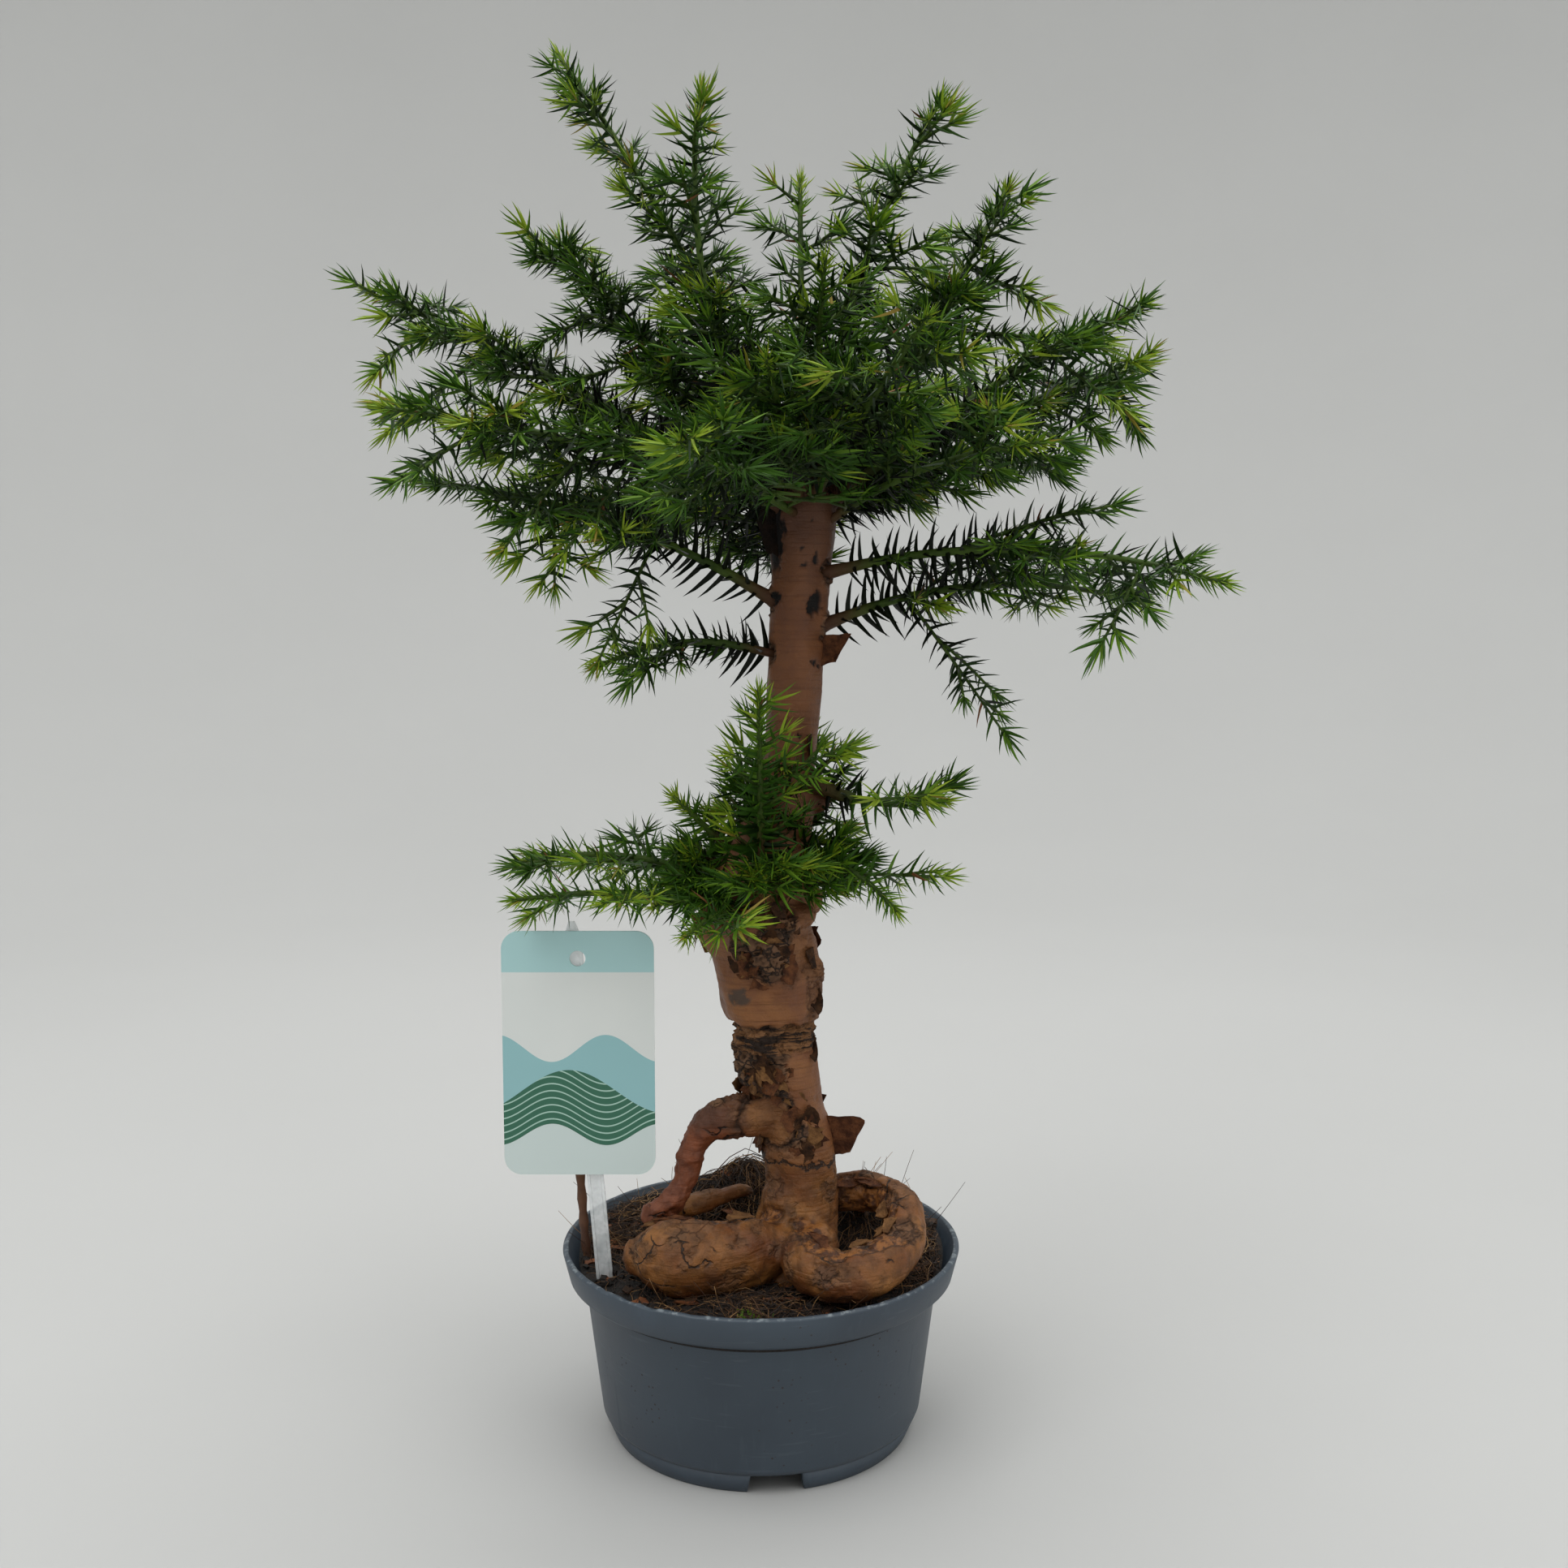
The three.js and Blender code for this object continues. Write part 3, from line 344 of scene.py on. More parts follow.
# Shoots with short needles, which leave the front of the trunk's head in sight.
SHORT_NEEDLED = ("crown_front", "crown_front_left", "crown_right_low")
# Short shoots that fill the middle of a whorl: height, spread of height, offset, count, length, rise, age.
# The low whorls' young ages make their needles lighter, partly as painted light falling on them from the
# front.
WHORLS = [(353, 4, 9, 26, 56, 48, 1.1), (210, 8, 15, 58, 25, 18, 0.36), (232, 22, 11, 44, 18, 35, 0.55)]
WHORL = {"rise_spread": 34, "shortest": 0.55, "length_spread": 0.45, "young": 0.25}

# Needles

# On each kind of stem: distance apart, lengths at foot and tip, leans there, flatness of the ranks.
ON_BOUGH = {"spacing": 1.3, "length": 12, "tip_length": 15, "lean": 80, "tip_lean": 80, "flat": 1.0}
ON_STEM = {"spacing": 1.05, "length": 15, "tip_length": 7.5, "lean": 82, "tip_lean": 58, "flat": 1.0}
ON_SHORT_STEM = {"spacing": 1.05, "length": 9, "tip_length": 8, "lean": 74, "tip_lean": 56, "flat": 1.0}
ON_SHOOT_TIP = {"spacing": 0.5, "length": 7.0, "tip_length": 4.5, "lean": 60, "tip_lean": 32, "flat": 1.0}
ON_TWIG = {"spacing": 1.35, "length": 11.5, "tip_length": 8.5, "lean": 78, "tip_lean": 56, "flat": 0.55}
SHOOT_TIP = 16
# Lengths that stay bare: at the trunk, at a stem's foot, at a twig's foot and at either's tip.
BARE = {"trunk": 3, "stem": 1, "twig": 2.0, "tip": 1}
NEEDLE = {
    "turn": 137.5, "width": 0.085, "narrowing": 0.35, "least_width": 0.38, "thickness": 0.7, "bend": 0.16,
    "lean_spread": 16, "shortest": 0.82, "length_spread": 0.36,
}
# Sections of a needle: share of the length, share of the half width.
NEEDLE_SECTIONS = [(0.0, 1.15), (0.3, 0.95), (0.7, 0.55)]
TUFT = {
    "count": 10, "length": 9.0, "inner": 8, "outer": 52, "lean_spread": 8, "shortest": 0.75,
    "length_spread": 0.45, "foot": 0.4, "foot_step": 0.35, "shoot_size": 0.75, "twig_size": 0.8,
    "size_spread": 0.5,
}
# Shares of tufts that are young: on side twigs, finer twigs and low shoots; the high share on low shoots is
# partly painted light, where light falls on them from the front. Shares of shades in a tuft.
YOUNG = {"side": 0.5, "finer": 0.28, "low": 0.8}
TUFT_SHADES = {"bronze": 0.06, "tip": 0.7, "green": 0.6}
# Ages of needles, from 0 at the youngest tip. Those at a shoot's foot are younger, and so lighter, on the low
# shoots: partly painted light, where light falls on them from the front.
AGES = {
    "foot": 0.95, "low_foot": 0.4, "bough": (1.1, 0.9), "stem_tip": 0.08, "shoot_tip": (0.2, 0.0),
    "young_twig_tip": 0.1, "twig_tip": 0.34, "younger_outwards": 0.45,
}
# Shades of needles by age, from the oldest: name, darkest and lightest colour. The two oldest, near the
# trunk, are darker than needles are, as painted shade of the crown's inside.
NEEDLE_SHADES = [
    ("needle_deep_shaded", "040902", "091203"), ("needle_old_shaded", "112306", "1a320a"),
    ("needle_green", "294810", "365915"), ("needle_fresh", "4c7019", "5f8120"),
    ("needle_tip", "75911f", "8a9e2b"), ("needle_bronze", "86802d", "8a7432"),
    ("needle_dead", "603c26", "784f31"),
]
# The places of the last five shades in that list.
GREEN, FRESH, TIP, BRONZE, DEAD = range(2, len(NEEDLE_SHADES))
# The ages past which needles have the first four shades, how far that wavers, and the share of dead needles.
SHADE_AGES, AGE_SPREAD, DEAD_SHARE = (0.64, 0.38, 0.18, 0.08), 0.16, 0.006

# Label and dry stick

LABEL = {
    "width": 55.0, "height": 90.0, "corner": 6.5, "corner_steps": 10, "thickness": 0.9, "hole": 2.9,
    "hole_drop": 10.0, "hole_sides": 32, "centre": (-65.7, -23.4, 148.7),
}
CLEAR_STEM = {
    "width": 6.0, "thickness": 1.6, "foot": -57.0, "top": -68.0, "height": 197.0, "clearance": 0.3, "sunk": 2,
    "rib": 1, "web": 1.2, "groove": 0.5,
}
# The stem's straight length and its point: share of the height, and how far the width is pinched there.
STEM_STRETCHES = ((0.96, 1.0), (0.04, 0.35))
STICK = [(-65, -6, 60), (-66.5, -6, 74), (-67.5, -5, 88), (-68.5, -5, 104)]
STICK_SURFACE = {"radius": 1.7, "wave": 0.25, "wave_step": 1.7, "steps": 6, "sides": 10}

# Stage

CAMERA = {"place": (8.67, -599.0, 304.5), "pitch": 5.72, "lens": 37.27, "sensor": 36}
# The part of the trunk that no needle hides from the camera, as places in the plane through the trunk.
BARE_TRUNK = {"left": 3, "right": 30, "low": 284, "high": 354}
# The shaded middle of the crown in the same plane, where no needle is lighter than green.
DARK_MIDDLE = {"left": -14, "right": 38, "low": 338, "high": 372}
# The paper's sweep: radii of its flat part, radius and start of its bend, and its top edge.
SWEEP = {"flat": (0, 400, 900), "start": 1100, "bend": 1400, "top": 2300, "bend_steps": 20, "sides": 96}
# Soft lights: place and height of the target in metres, size, power.
LIGHTS = {
    "key": ((-0.9, -1.1, 1.9), 0.25, 1.4, 14),
    "fill": ((1.3, -1.0, 1.3), 0.25, 1.6, 7),
    "top": ((0.1, 0.3, 2.2), 0.2, 1.8, 26),
}
SKY = {"Color": (0.98, 1.0, 0.98, 1.0), "Strength": 1.05}


# Finishes

def tint(code):
    """A colour from its hex code, as the linear values that a shader takes."""
    channels = [int(code[i:i + 2], 16) / 255 for i in (0, 2, 4)]
    return (*[c / 12.92 if c <= 0.04045 else ((c + 0.055) / 1.055) ** 2.4 for c in channels], 1.0)


class Value:
    """A number that changes over a surface. Arithmetic on it adds Math nodes."""

    def __init__(self, finish, socket):
        self.finish = finish
        self.socket = socket

    def math(self, operation, *operands):
        return self.finish.node("ShaderNodeMath", {"operation": operation}, dict(enumerate(operands)))

    def __add__(self, other):
        return self.math("ADD", self, other)

    def __radd__(self, other):
        return self.math("ADD", other, self)

    def __sub__(self, other):
        return self.math("SUBTRACT", self, other)

    def __rsub__(self, other):
        return self.math("SUBTRACT", other, self)

    def __mul__(self, other):
        return self.math("MULTIPLY", self, other)

    def __rmul__(self, other):
        return self.math("MULTIPLY", other, self)

    def __gt__(self, other):
        return self.math("GREATER_THAN", self, other)

    def most(self, other):
        return self.math("MAXIMUM", self, other)

    def sine(self):
        return self.math("SINE", self)

    def between(self, low, high):
        """From 0 at low to 1 at high, with soft ends."""
        sockets = {0: self, 1: low, 2: high, 3: 0.0, 4: 1.0}
        return self.finish.node("ShaderNodeMapRange", {"interpolation_type": "SMOOTHSTEP"}, sockets)


class Finish:
    """A procedural material in the making."""

    def __init__(self, name):
        self.material = bpy.data.materials.new(name)
        self.material.use_nodes = True
        self.tree = self.material.node_tree
        self.shader = self.tree.nodes["Principled BSDF"]
        self.place = self.node("ShaderNodeTexCoord", output="Object")

    def node(self, kind, settings=None, sockets=None, output=0):
        """Adds a node: its settings first, then values or links for its sockets."""
        made = self.tree.nodes.new(kind)
        for name, setting in (settings or {}).items():
            setattr(made, name, setting)
        for name, value in (sockets or {}).items():
            self.feed(made.inputs[name], value)
        return Value(self, made.outputs[output])

    def feed(self, socket, value):
        if isinstance(value, Value):
            self.tree.links.new(value.socket, socket)
        else:
            socket.default_value = value

    def scaled(self, size, stretch):
        """The place in steps of a size, which is longer along the axes that stretch makes longer."""
        scale = [1 / (size * MM * s) for s in stretch]
        return self.node("ShaderNodeMapping", {}, {"Vector": self.place, "Scale": scale})

    def noise(self, size, detail=3.0, roughness=0.55, stretch=(1, 1, 1)):
        """Noise with lumps of about that size."""
        place = self.scaled(size, stretch)
        sockets = {"Vector": place, "Scale": 1.0, "Detail": detail, "Roughness": roughness}
        return self.node("ShaderNodeTexNoise", {}, sockets)

    def specks(self, size):
        """Distance from the nearest of many points, as a share of their spacing."""
        return self.node("ShaderNodeTexVoronoi", {}, {"Vector": self.place, "Scale": 1 / (size * MM)})

    def plates(self, size, wander, stretch):
        """The place in steps of a size, moved about so that plates on it have wandering outlines."""
        place = self.scaled(size, stretch)
        lumps = {"Vector": place, "Scale": 1.4, "Detail": 4.0}
        drift = self.node("ShaderNodeTexNoise", {}, lumps, output="Color")
        sockets = {0: drift, 1: [wander] * 3, 2: place}
        return self.node("ShaderNodeVectorMath", {"operation": "MULTIPLY_ADD"}, sockets)

    def plate_edge(self, plates):
        """Distance from the outline of a plate."""
        settings = {"feature": "DISTANCE_TO_EDGE"}
        return self.node("ShaderNodeTexVoronoi", settings, {"Vector": plates, "Scale": 1.0})

    def plate_share(self, plates):
        """A share that each plate has at random."""
        plate = self.node("ShaderNodeTexVoronoi", {}, {"Vector": plates, "Scale": 1.0}, output="Color")
        return self.node("ShaderNodeSeparateColor", {}, {0: plate})

    def axis(self, name):
        """One of the place's coordinates, in millimetres."""
        return self.node("ShaderNodeSeparateXYZ", {}, {0: self.place}, output=name) * (1 / MM)

    def attribute(self, name):
        return self.node("ShaderNodeAttribute", {"attribute_name": name}, output="Fac")

    def mix(self, share, first, second):
        """A colour between two others, each a hex code or made by nodes."""
        first, second = [tint(colour) if isinstance(colour, str) else colour for colour in (first, second)]
        return self.node("ShaderNodeMix", {"data_type": "RGBA"}, {0: share, 6: first, 7: second}, output=2)

    def bump(self, height, depth, strength=1.0):
        sockets = {"Strength": strength, "Distance": depth * MM, "Height": height}
        return self.node("ShaderNodeBump", {}, sockets)

    def done(self, **sockets):
        """Feeds the shader's sockets, which are named with _ for a space."""
        for name, value in sockets.items():
            self.feed(self.shader.inputs[name.replace("_", " ")], value)
        return self.material


def pot_plastic():
    """Grey-blue plastic with scuffs, a worn rim and specks of soil."""
    finish = Finish("pot_plastic")
    cloud = finish.noise(40, 4).between(0.3, 0.7)
    grain = finish.noise(0.7, 2)
    streaks = finish.noise(3, 3, stretch=(1, 1, 9)).between(0.56, 0.75)
    scratches = finish.noise(1.2, 3, stretch=(14, 14, 1)).between(0.62, 0.72)
    at_rim = finish.axis("Z").between(POT["height"] - 0.8, POT["height"] - 0.1)
    worn_rim = at_rim * finish.noise(2.4, 4).between(0.5, 0.68)
    dust = (1 - finish.specks(3.2).between(0.08, 0.16)) * finish.noise(25).between(0.5, 0.62)
    colour = finish.mix(cloud, "333d48", "3b4651")
    colour = finish.mix(streaks * 0.25, colour, "4e5963")
    colour = finish.mix(scratches * 0.2, colour, "5c6770")
    colour = finish.mix(worn_rim * 0.6, colour, "8e979b")
    colour = finish.mix(dust * 0.7, colour, "3a2b20")
    rough = 0.42 + cloud * 0.1 + streaks * 0.1 + dust * 0.3
    return finish.done(Base_Color=colour, Roughness=rough, Normal=finish.bump(grain, 0.05, 0.5))


def peat():
    finish = Finish("peat")
    lumps = finish.noise(5, 5)
    crumbs = finish.noise(1.3, 4)
    colour = finish.mix(lumps.between(0.35, 0.65), "0a0604", "1c120b")
    colour = finish.mix(crumbs.between(0.58, 0.78) * 0.5, colour, "33200f")
    return finish.done(Base_Color=colour, Roughness=0.75 + crumbs * 0.2, Normal=finish.bump(crumbs, 1.2))


def fibre(name, dark, light):
    finish = Finish(name)
    shade = finish.noise(9, 3).between(0.35, 0.65)
    return finish.done(Base_Color=finish.mix(shade, dark, light), Roughness=0.65 + shade * 0.15)


def copper_bark(finish, height, cloud, lines):
    """Smooth bark with fine level lines, lighter below, and darkened at the top with painted shade of the
    crown.
    """
    colour = finish.mix(cloud, "613a24", "784b2c")
    colour = finish.mix(1 - height.between(190, 250), colour, finish.mix(cloud, "704428", "875832"))
    # Painted shade: the crown's shadow on the top of the trunk, mixed into the bark's colour.
    colour = finish.mix(height.between(305, 345) * 0.6, colour, "382219")
    return finish.mix(lines * 0.3, colour, "452616")


def peeling_bark(finish, height, root, mottle, shade, gap):
    """Torn plates with dark gaps, and level lines where the trunk is ringed."""
    colour = finish.mix(shade, "483021", "7f5d42")
    colour = finish.mix(mottle * 0.5, colour, "322116")
    colour = finish.mix(gap * 0.85, colour, "100906")
    low, high = RINGS
    ringed = height.between(low - 0.5, low + 1.5) * (1 - height.between(high - 2, high)) * (1 - root)
    ring_lines = finish.noise(2.1, 4, 0.65, (8, 8, 1)).between(0.45, 0.56)
    return finish.mix(ringed, colour, finish.mix(ring_lines, "24160d", "7d5635"))


def golden_bark(finish, cloud, mottle, lip):
    """The bark of the roots, in strips on their torn sides."""
    colour = finish.mix(cloud, "653818", "91602f")
    colour = finish.mix(mottle * 0.65, colour, "3a1e0c")
    strips = finish.noise(3.2, 4, 0.6).between(0.42, 0.58)
    return finish.mix(lip, colour, finish.mix(strips, "45250f", "855428"))


def russet_bark(finish, height, cloud, mottle):
    """The bark of the arching root, darker at its top."""
    colour = finish.mix(cloud, "67361d", "86492a")
    colour = finish.mix(mottle * 0.7, colour, "472416")
    return finish.mix(height.between(115, 122) * 0.7, colour, "452b1c")


def root_splits(finish, height, root, arch):
    """Thin splits in the roots, and a level one that wanders round their tops."""
    edge = finish.plate_edge(finish.plates(19, 0.8, (1, 1, 0.8)))
    splits = (1 - edge.between(0.006, 0.024)) * finish.noise(22, 3).between(0.54, 0.6) * root
    above = height - 98 - finish.noise(7, 5, 0.65) * 14
    level = above.between(-0.7, 0.0) * (1 - above.between(0.6, 1.2)) * (1 - arch)
    return splits, level


def bark():
    """Smooth copper bark above, plates below, golden roots with splits, black wounds."""
    finish = Finish("bark")
    height = finish.axis("Z")
    names = ("rough", "crack_and_shadow", "wound", "root", "arch", "grey", "lip")
    rough, crack_and_shadow, wound, root, arch, grey, lip = [finish.attribute(name) for name in names]
    cloud = finish.noise(16, 4).between(0.32, 0.68)
    mottle = finish.noise(4, 4).between(0.35, 0.7)
    lines = finish.noise(1.1, 3, stretch=(16, 16, 1)).between(0.45, 0.7)
    grain = finish.noise(0.8, 4)
    plates = finish.plates(6.5, 0.9, (1, 1, 0.7))
    shade = finish.plate_share(plates)
    gap = 1 - finish.plate_edge(plates).between(0.015, 0.1)
    splits, level_split = root_splits(finish, height, root, arch)
    # Dark lines: real splits and cracks, with painted shadow at the foot of the bark's steps and painted
    # shade in the cheek's crease.
    dark_lines = (crack_and_shadow * 0.7).most(splits * 0.9).most(level_split * 0.9)

    colour = copper_bark(finish, height, cloud, lines)
    colour = finish.mix(root, colour, golden_bark(finish, cloud, mottle, lip))
    colour = finish.mix(arch, colour, russet_bark(finish, height, cloud, mottle))
    colour = finish.mix(rough, colour, peeling_bark(finish, height, root, mottle, shade, gap))
    colour = finish.mix(dark_lines, colour, "150c07")
    colour = finish.mix(grey * finish.noise(3).between(0.3, 0.5), colour, "4a392d")
    colour = finish.mix(wound, colour, "0b0706")
    relief = grain * 0.5 + mottle * 0.5 - lines * 0.3 - dark_lines * 2 + rough * (shade * 1.6 - gap * 1.6)
    shine = 0.5 + mottle * 0.12 + rough * 0.25 + wound * 0.2
    normal = finish.bump(relief, 0.5, 0.8)
    return finish.done(Base_Color=colour, Roughness=shine, Normal=normal, Specular_IOR_Level=0.35)


def torn_bark(name, dark, light):
    finish = Finish(name)
    shade = finish.noise(3.2, 5).between(0.32, 0.68)
    normal = finish.bump(finish.noise(0.9, 4), 0.7, 0.9)
    colour = finish.mix(shade, dark, light)
    rough = 0.65 + shade * 0.2
    return finish.done(Base_Color=colour, Roughness=rough, Normal=normal, Specular_IOR_Level=0.12)


def young_bark():
    """Limbs that are brown at the trunk and green further out."""
    finish = Finish("young_bark")
    ridges = finish.noise(1.6, 3)
    shade = finish.noise(12, 3).between(0.35, 0.65)
    colour = finish.mix(shade, "2b3d12", "3f551a")
    colour = finish.mix(finish.attribute("brown"), colour, "4a3020")
    normal = finish.bump(ridges, 0.5, 0.7)
    return finish.done(Base_Color=colour, Roughness=0.5 + ridges * 0.2, Normal=normal, Specular_IOR_Level=0.2)


def needle_green(name, dark, light):
    """One shade of needle, which changes only slightly over the plant."""
    finish = Finish(name)
    shade = finish.noise(30, 2).between(0.35, 0.65)
    colour = finish.mix(shade, dark, light)
    return finish.done(Base_Color=colour, Roughness=0.4 + shade * 0.08, Specular_IOR_Level=0.18)


def printed_card():
    """A plain print of hills in soft greens on a pale card, with no words."""
    finish = Finish("printed_card")
    across = finish.axis("X") - LABEL["centre"][0]
    level = finish.axis("Z") - LABEL["centre"][2]
    ripple = (across * 0.16).sine()
    swell = (across * 0.09 + 1.9).sine()
    stripes = ((level + ripple * 4) * 2.4).sine()
    near_hill = swell * 8 - 14 > level
    haze = finish.noise(30, 2)
    colour = finish.mix(haze, "d6dbd9", "dfe2df")
    colour = finish.mix(level > 30, colour, "a9cfd0")
    colour = finish.mix(ripple * 5 + 2 > level, colour, "8fbcc0")
    colour = finish.mix(near_hill, colour, "2f6650")
    colour = finish.mix(near_hill * (stripes > 0.82), colour, "a4c6b8")
    colour = finish.mix(ripple * -4 - 30 > level, colour, "c9d6d4")
    return finish.done(Base_Color=colour, Roughness=0.32 + haze * 0.1)


def clear_plastic():
    finish = Finish("clear_plastic")
    haze = finish.noise(6, 3).between(0.3, 0.7)
    colour = finish.mix(haze, "dfe4e6", "eef1f2")
    return finish.done(Base_Color=colour, Roughness=0.18 + haze * 0.12, Alpha=0.42 + haze * 0.2)


def backdrop_paper():
    finish = Finish("backdrop_paper")
    return finish.done(Base_Color=finish.mix(finish.noise(300, 2), "b1b1b0", "b5b5b4"), Roughness=0.9)


# Shapes

def new_piece(name, mesh, finishes, nodes=()):
    """A finished piece of the plant, which stands for some of the solids."""
    piece = bpy.data.objects.new(name, mesh)
    bpy.context.scene.collection.objects.link(piece)
    for finish in finishes:
        mesh.materials.append(finish)
    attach(piece, "root")
    if nodes:
        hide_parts(*nodes)


def mesh_of(bm, name, smooth=True):
    mesh = bpy.data.meshes.new(name)
    bm.to_mesh(mesh)
    bm.free()
    mesh.polygons.foreach_set("use_smooth", [smooth] * len(mesh.polygons))
    return mesh


def places_of(mesh, what="co"):
    """The corners of a mesh, or their normals, as rows."""
    rows = np.empty(len(mesh.vertices) * 3)
    mesh.vertices.foreach_get(what, rows)
    return rows.reshape(-1, 3)


def mark(mesh, name, values):
    """Keeps a share for each corner of a mesh, which its finish reads."""
    attribute = mesh.attributes.new(name, "FLOAT", "POINT")
    attribute.data.foreach_set("value", values.astype(np.float32))


def close_up(bm):
    """Joins corners at the same place and turns all faces outwards."""
    bmesh.ops.remove_doubles(bm, verts=bm.verts, dist=SAME_PLACE)
    bmesh.ops.recalc_face_normals(bm, faces=bm.faces)


def rises(values, low, high):
    """From 0 at low to 1 at high, with soft ends."""
    t = np.clip((values - low) / (high - low), 0, 1)
    return t * t * (3 - 2 * t)


def fades(values, low, high):
    """From 1 at low to 0 at high, with soft ends."""
    return 1 - rises(values, low, high)


def fractal(place, octaves):
    """Noise at a place, with finer noise on it that is twice as fine in each octave."""
    return noise.fractal(place, 1.0, 2.0, octaves)


def smooth_rows(rows, keys):
    """Values of a table at keys between its rows, on a smooth curve. The first column holds the keys."""
    rows = np.asarray(rows, float)
    keys = np.asarray(keys, float)
    slopes = np.gradient(rows[:, 1:], rows[:, 0], axis=0)
    low = np.clip(np.searchsorted(rows[:, 0], keys) - 1, 0, len(rows) - 2)
    gap = (rows[low + 1, 0] - rows[low, 0])[:, None]
    t = np.clip((keys - rows[low, 0])[:, None] / gap, 0, 1)
    start, end = rows[low, 1:], rows[low + 1, 1:]
    curve = (2 * t**3 - 3 * t**2 + 1) * start + (3 * t**2 - 2 * t**3) * end
    return curve + gap * ((t**3 - 2 * t**2 + t) * slopes[low] + (t**3 - t**2) * slopes[low + 1])


def smooth_line(points, steps):
    """A table of points as a smooth curve with that many steps from one to the next."""
    rows = [(i, *point) for i, point in enumerate(points)]
    return smooth_rows(rows, np.linspace(0, len(points) - 1, (len(points) - 1) * steps + 1))


def heading(bearing, rise):
    """A unit vector from a bearing, turned from +X towards +Y, and a rise above the horizon."""
    bearing, rise = math.radians(bearing), math.radians(rise)
    return Vector((math.cos(rise) * math.cos(bearing), math.cos(rise) * math.sin(bearing), math.sin(rise)))


def steady_side(along):
    """A level direction square to another, also where that one is upright."""
    side = along.cross(UP)
    if side.length < NEARLY_UPRIGHT:
        side = Vector((1, 0, 0)).cross(along)
    return side.normalized()


def frames_along(line):
    """At each point of a line, its direction and two directions square to it that don't twist."""
    along = np.gradient(line, axis=0)
    along /= np.linalg.norm(along, axis=1)[:, None]
    across = np.zeros_like(line)
    side = np.array(steady_side(Vector(along[0])))
    for i, way in enumerate(along):
        side = side - way * (side @ way)
        side /= np.linalg.norm(side)
        across[i] = side
    return along, across, np.cross(along, across)


def tube_rings(line, radii, sides):
    """Rings of points round a line."""
    _, across, beside = frames_along(line)
    turns = np.linspace(0, 2 * np.pi, sides, endpoint=False)
    spokes = np.cos(turns)[None, :, None] * across[:, None] + np.sin(turns)[None, :, None] * beside[:, None]
    return line[:, None] + spokes * np.asarray(radii, float)[:, None, None]


def wall_faces(rings, sides):
    """The faces between rings of corners."""
    return [
        [ring + side, ring + (side + 1) % sides, ring + sides + (side + 1) % sides, ring + sides + side]
        for ring in range(0, (rings - 1) * sides, sides) for side in range(sides)
    ]


class Cluster:
    """Many small shapes that are joined into one mesh."""

    def __init__(self):
        self.corners = []
        self.faces = []
        self.shades = []
        self.count = 0

    def add(self, corners, faces, shade=0):
        self.corners.append(corners)
        self.faces.extend([[corner + self.count for corner in face] for face in faces])
        self.shades.extend([shade] * len(faces))
        self.count += len(corners)

    def add_tube(self, line, radii, sides, shade=0):
        """A closed tube along a line."""
        last = (len(line) - 1) * sides
        faces = wall_faces(len(line), sides)
        faces.append(list(range(sides))[::-1])
        faces.append([last + side for side in range(sides)])
        self.add(tube_rings(line, radii, sides).reshape(-1, 3), faces, shade)

    def add_slab(self, front, back, shade=0):
        """A closed sheet between two grids of points."""
        rows, columns = front.shape[:2]
        place = np.arange(rows * columns).reshape(rows, columns)
        behind = rows * columns
        faces = []
        for first in place[:-1, :-1].ravel().tolist():
            quad = [first, first + columns, first + columns + 1, first + 1]
            faces.append(quad)
            faces.append([behind + corner for corner in quad[::-1]])
        rim = [*place[0, :-1], *place[:-1, -1], *place[-1, :0:-1], *place[:0:-1, 0]]
        for a, b in zip(rim, rim[1:] + rim[:1]):
            faces.append([a, b, behind + b, behind + a])
        self.add(np.concatenate([front.reshape(-1, 3), back.reshape(-1, 3)]), faces, shade)

    def mesh(self, name, smooth):
        mesh = bpy.data.meshes.new(name)
        mesh.from_pydata(np.concatenate(self.corners) * MM, [], self.faces)
        mesh.polygons.foreach_set("material_index", self.shades)
        mesh.polygons.foreach_set("use_smooth", [smooth] * len(self.faces))
        return mesh


def wrapped_grid(bm, around, along, place):
    """A closed tube: a grid whose corners go where place(turn, share) says, joined at its seam."""
    corners = bmesh.ops.create_grid(bm, x_segments=around, y_segments=along, size=1)["verts"]
    for corner in corners:
        corner.co = place((corner.co.x + 1) / 2, (corner.co.y + 1) / 2)
    bmesh.ops.remove_doubles(bm, verts=corners, dist=SAME_PLACE)
    bmesh.ops.holes_fill(bm, edges=[edge for edge in bm.edges if edge.is_boundary])


def spun(bm, profile, steps, start=0.0, angle=360.0):
    """A profile of radius and height turned about the pot's axis."""
    turn = Matrix.Rotation(math.radians(start), 3, "Z")
    corners = [bm.verts.new(turn @ Vector((radius * MM, 0, height * MM))) for radius, height in profile]
    edges = [bm.edges.new(pair) for pair in zip(corners, corners[1:])]
    bmesh.ops.spin(
        bm, geom=corners + edges, cent=(0, 0, 0), axis=(0, 0, 1), angle=math.radians(angle), steps=steps,
        use_merge=angle == 360.0,
    )


# Pot

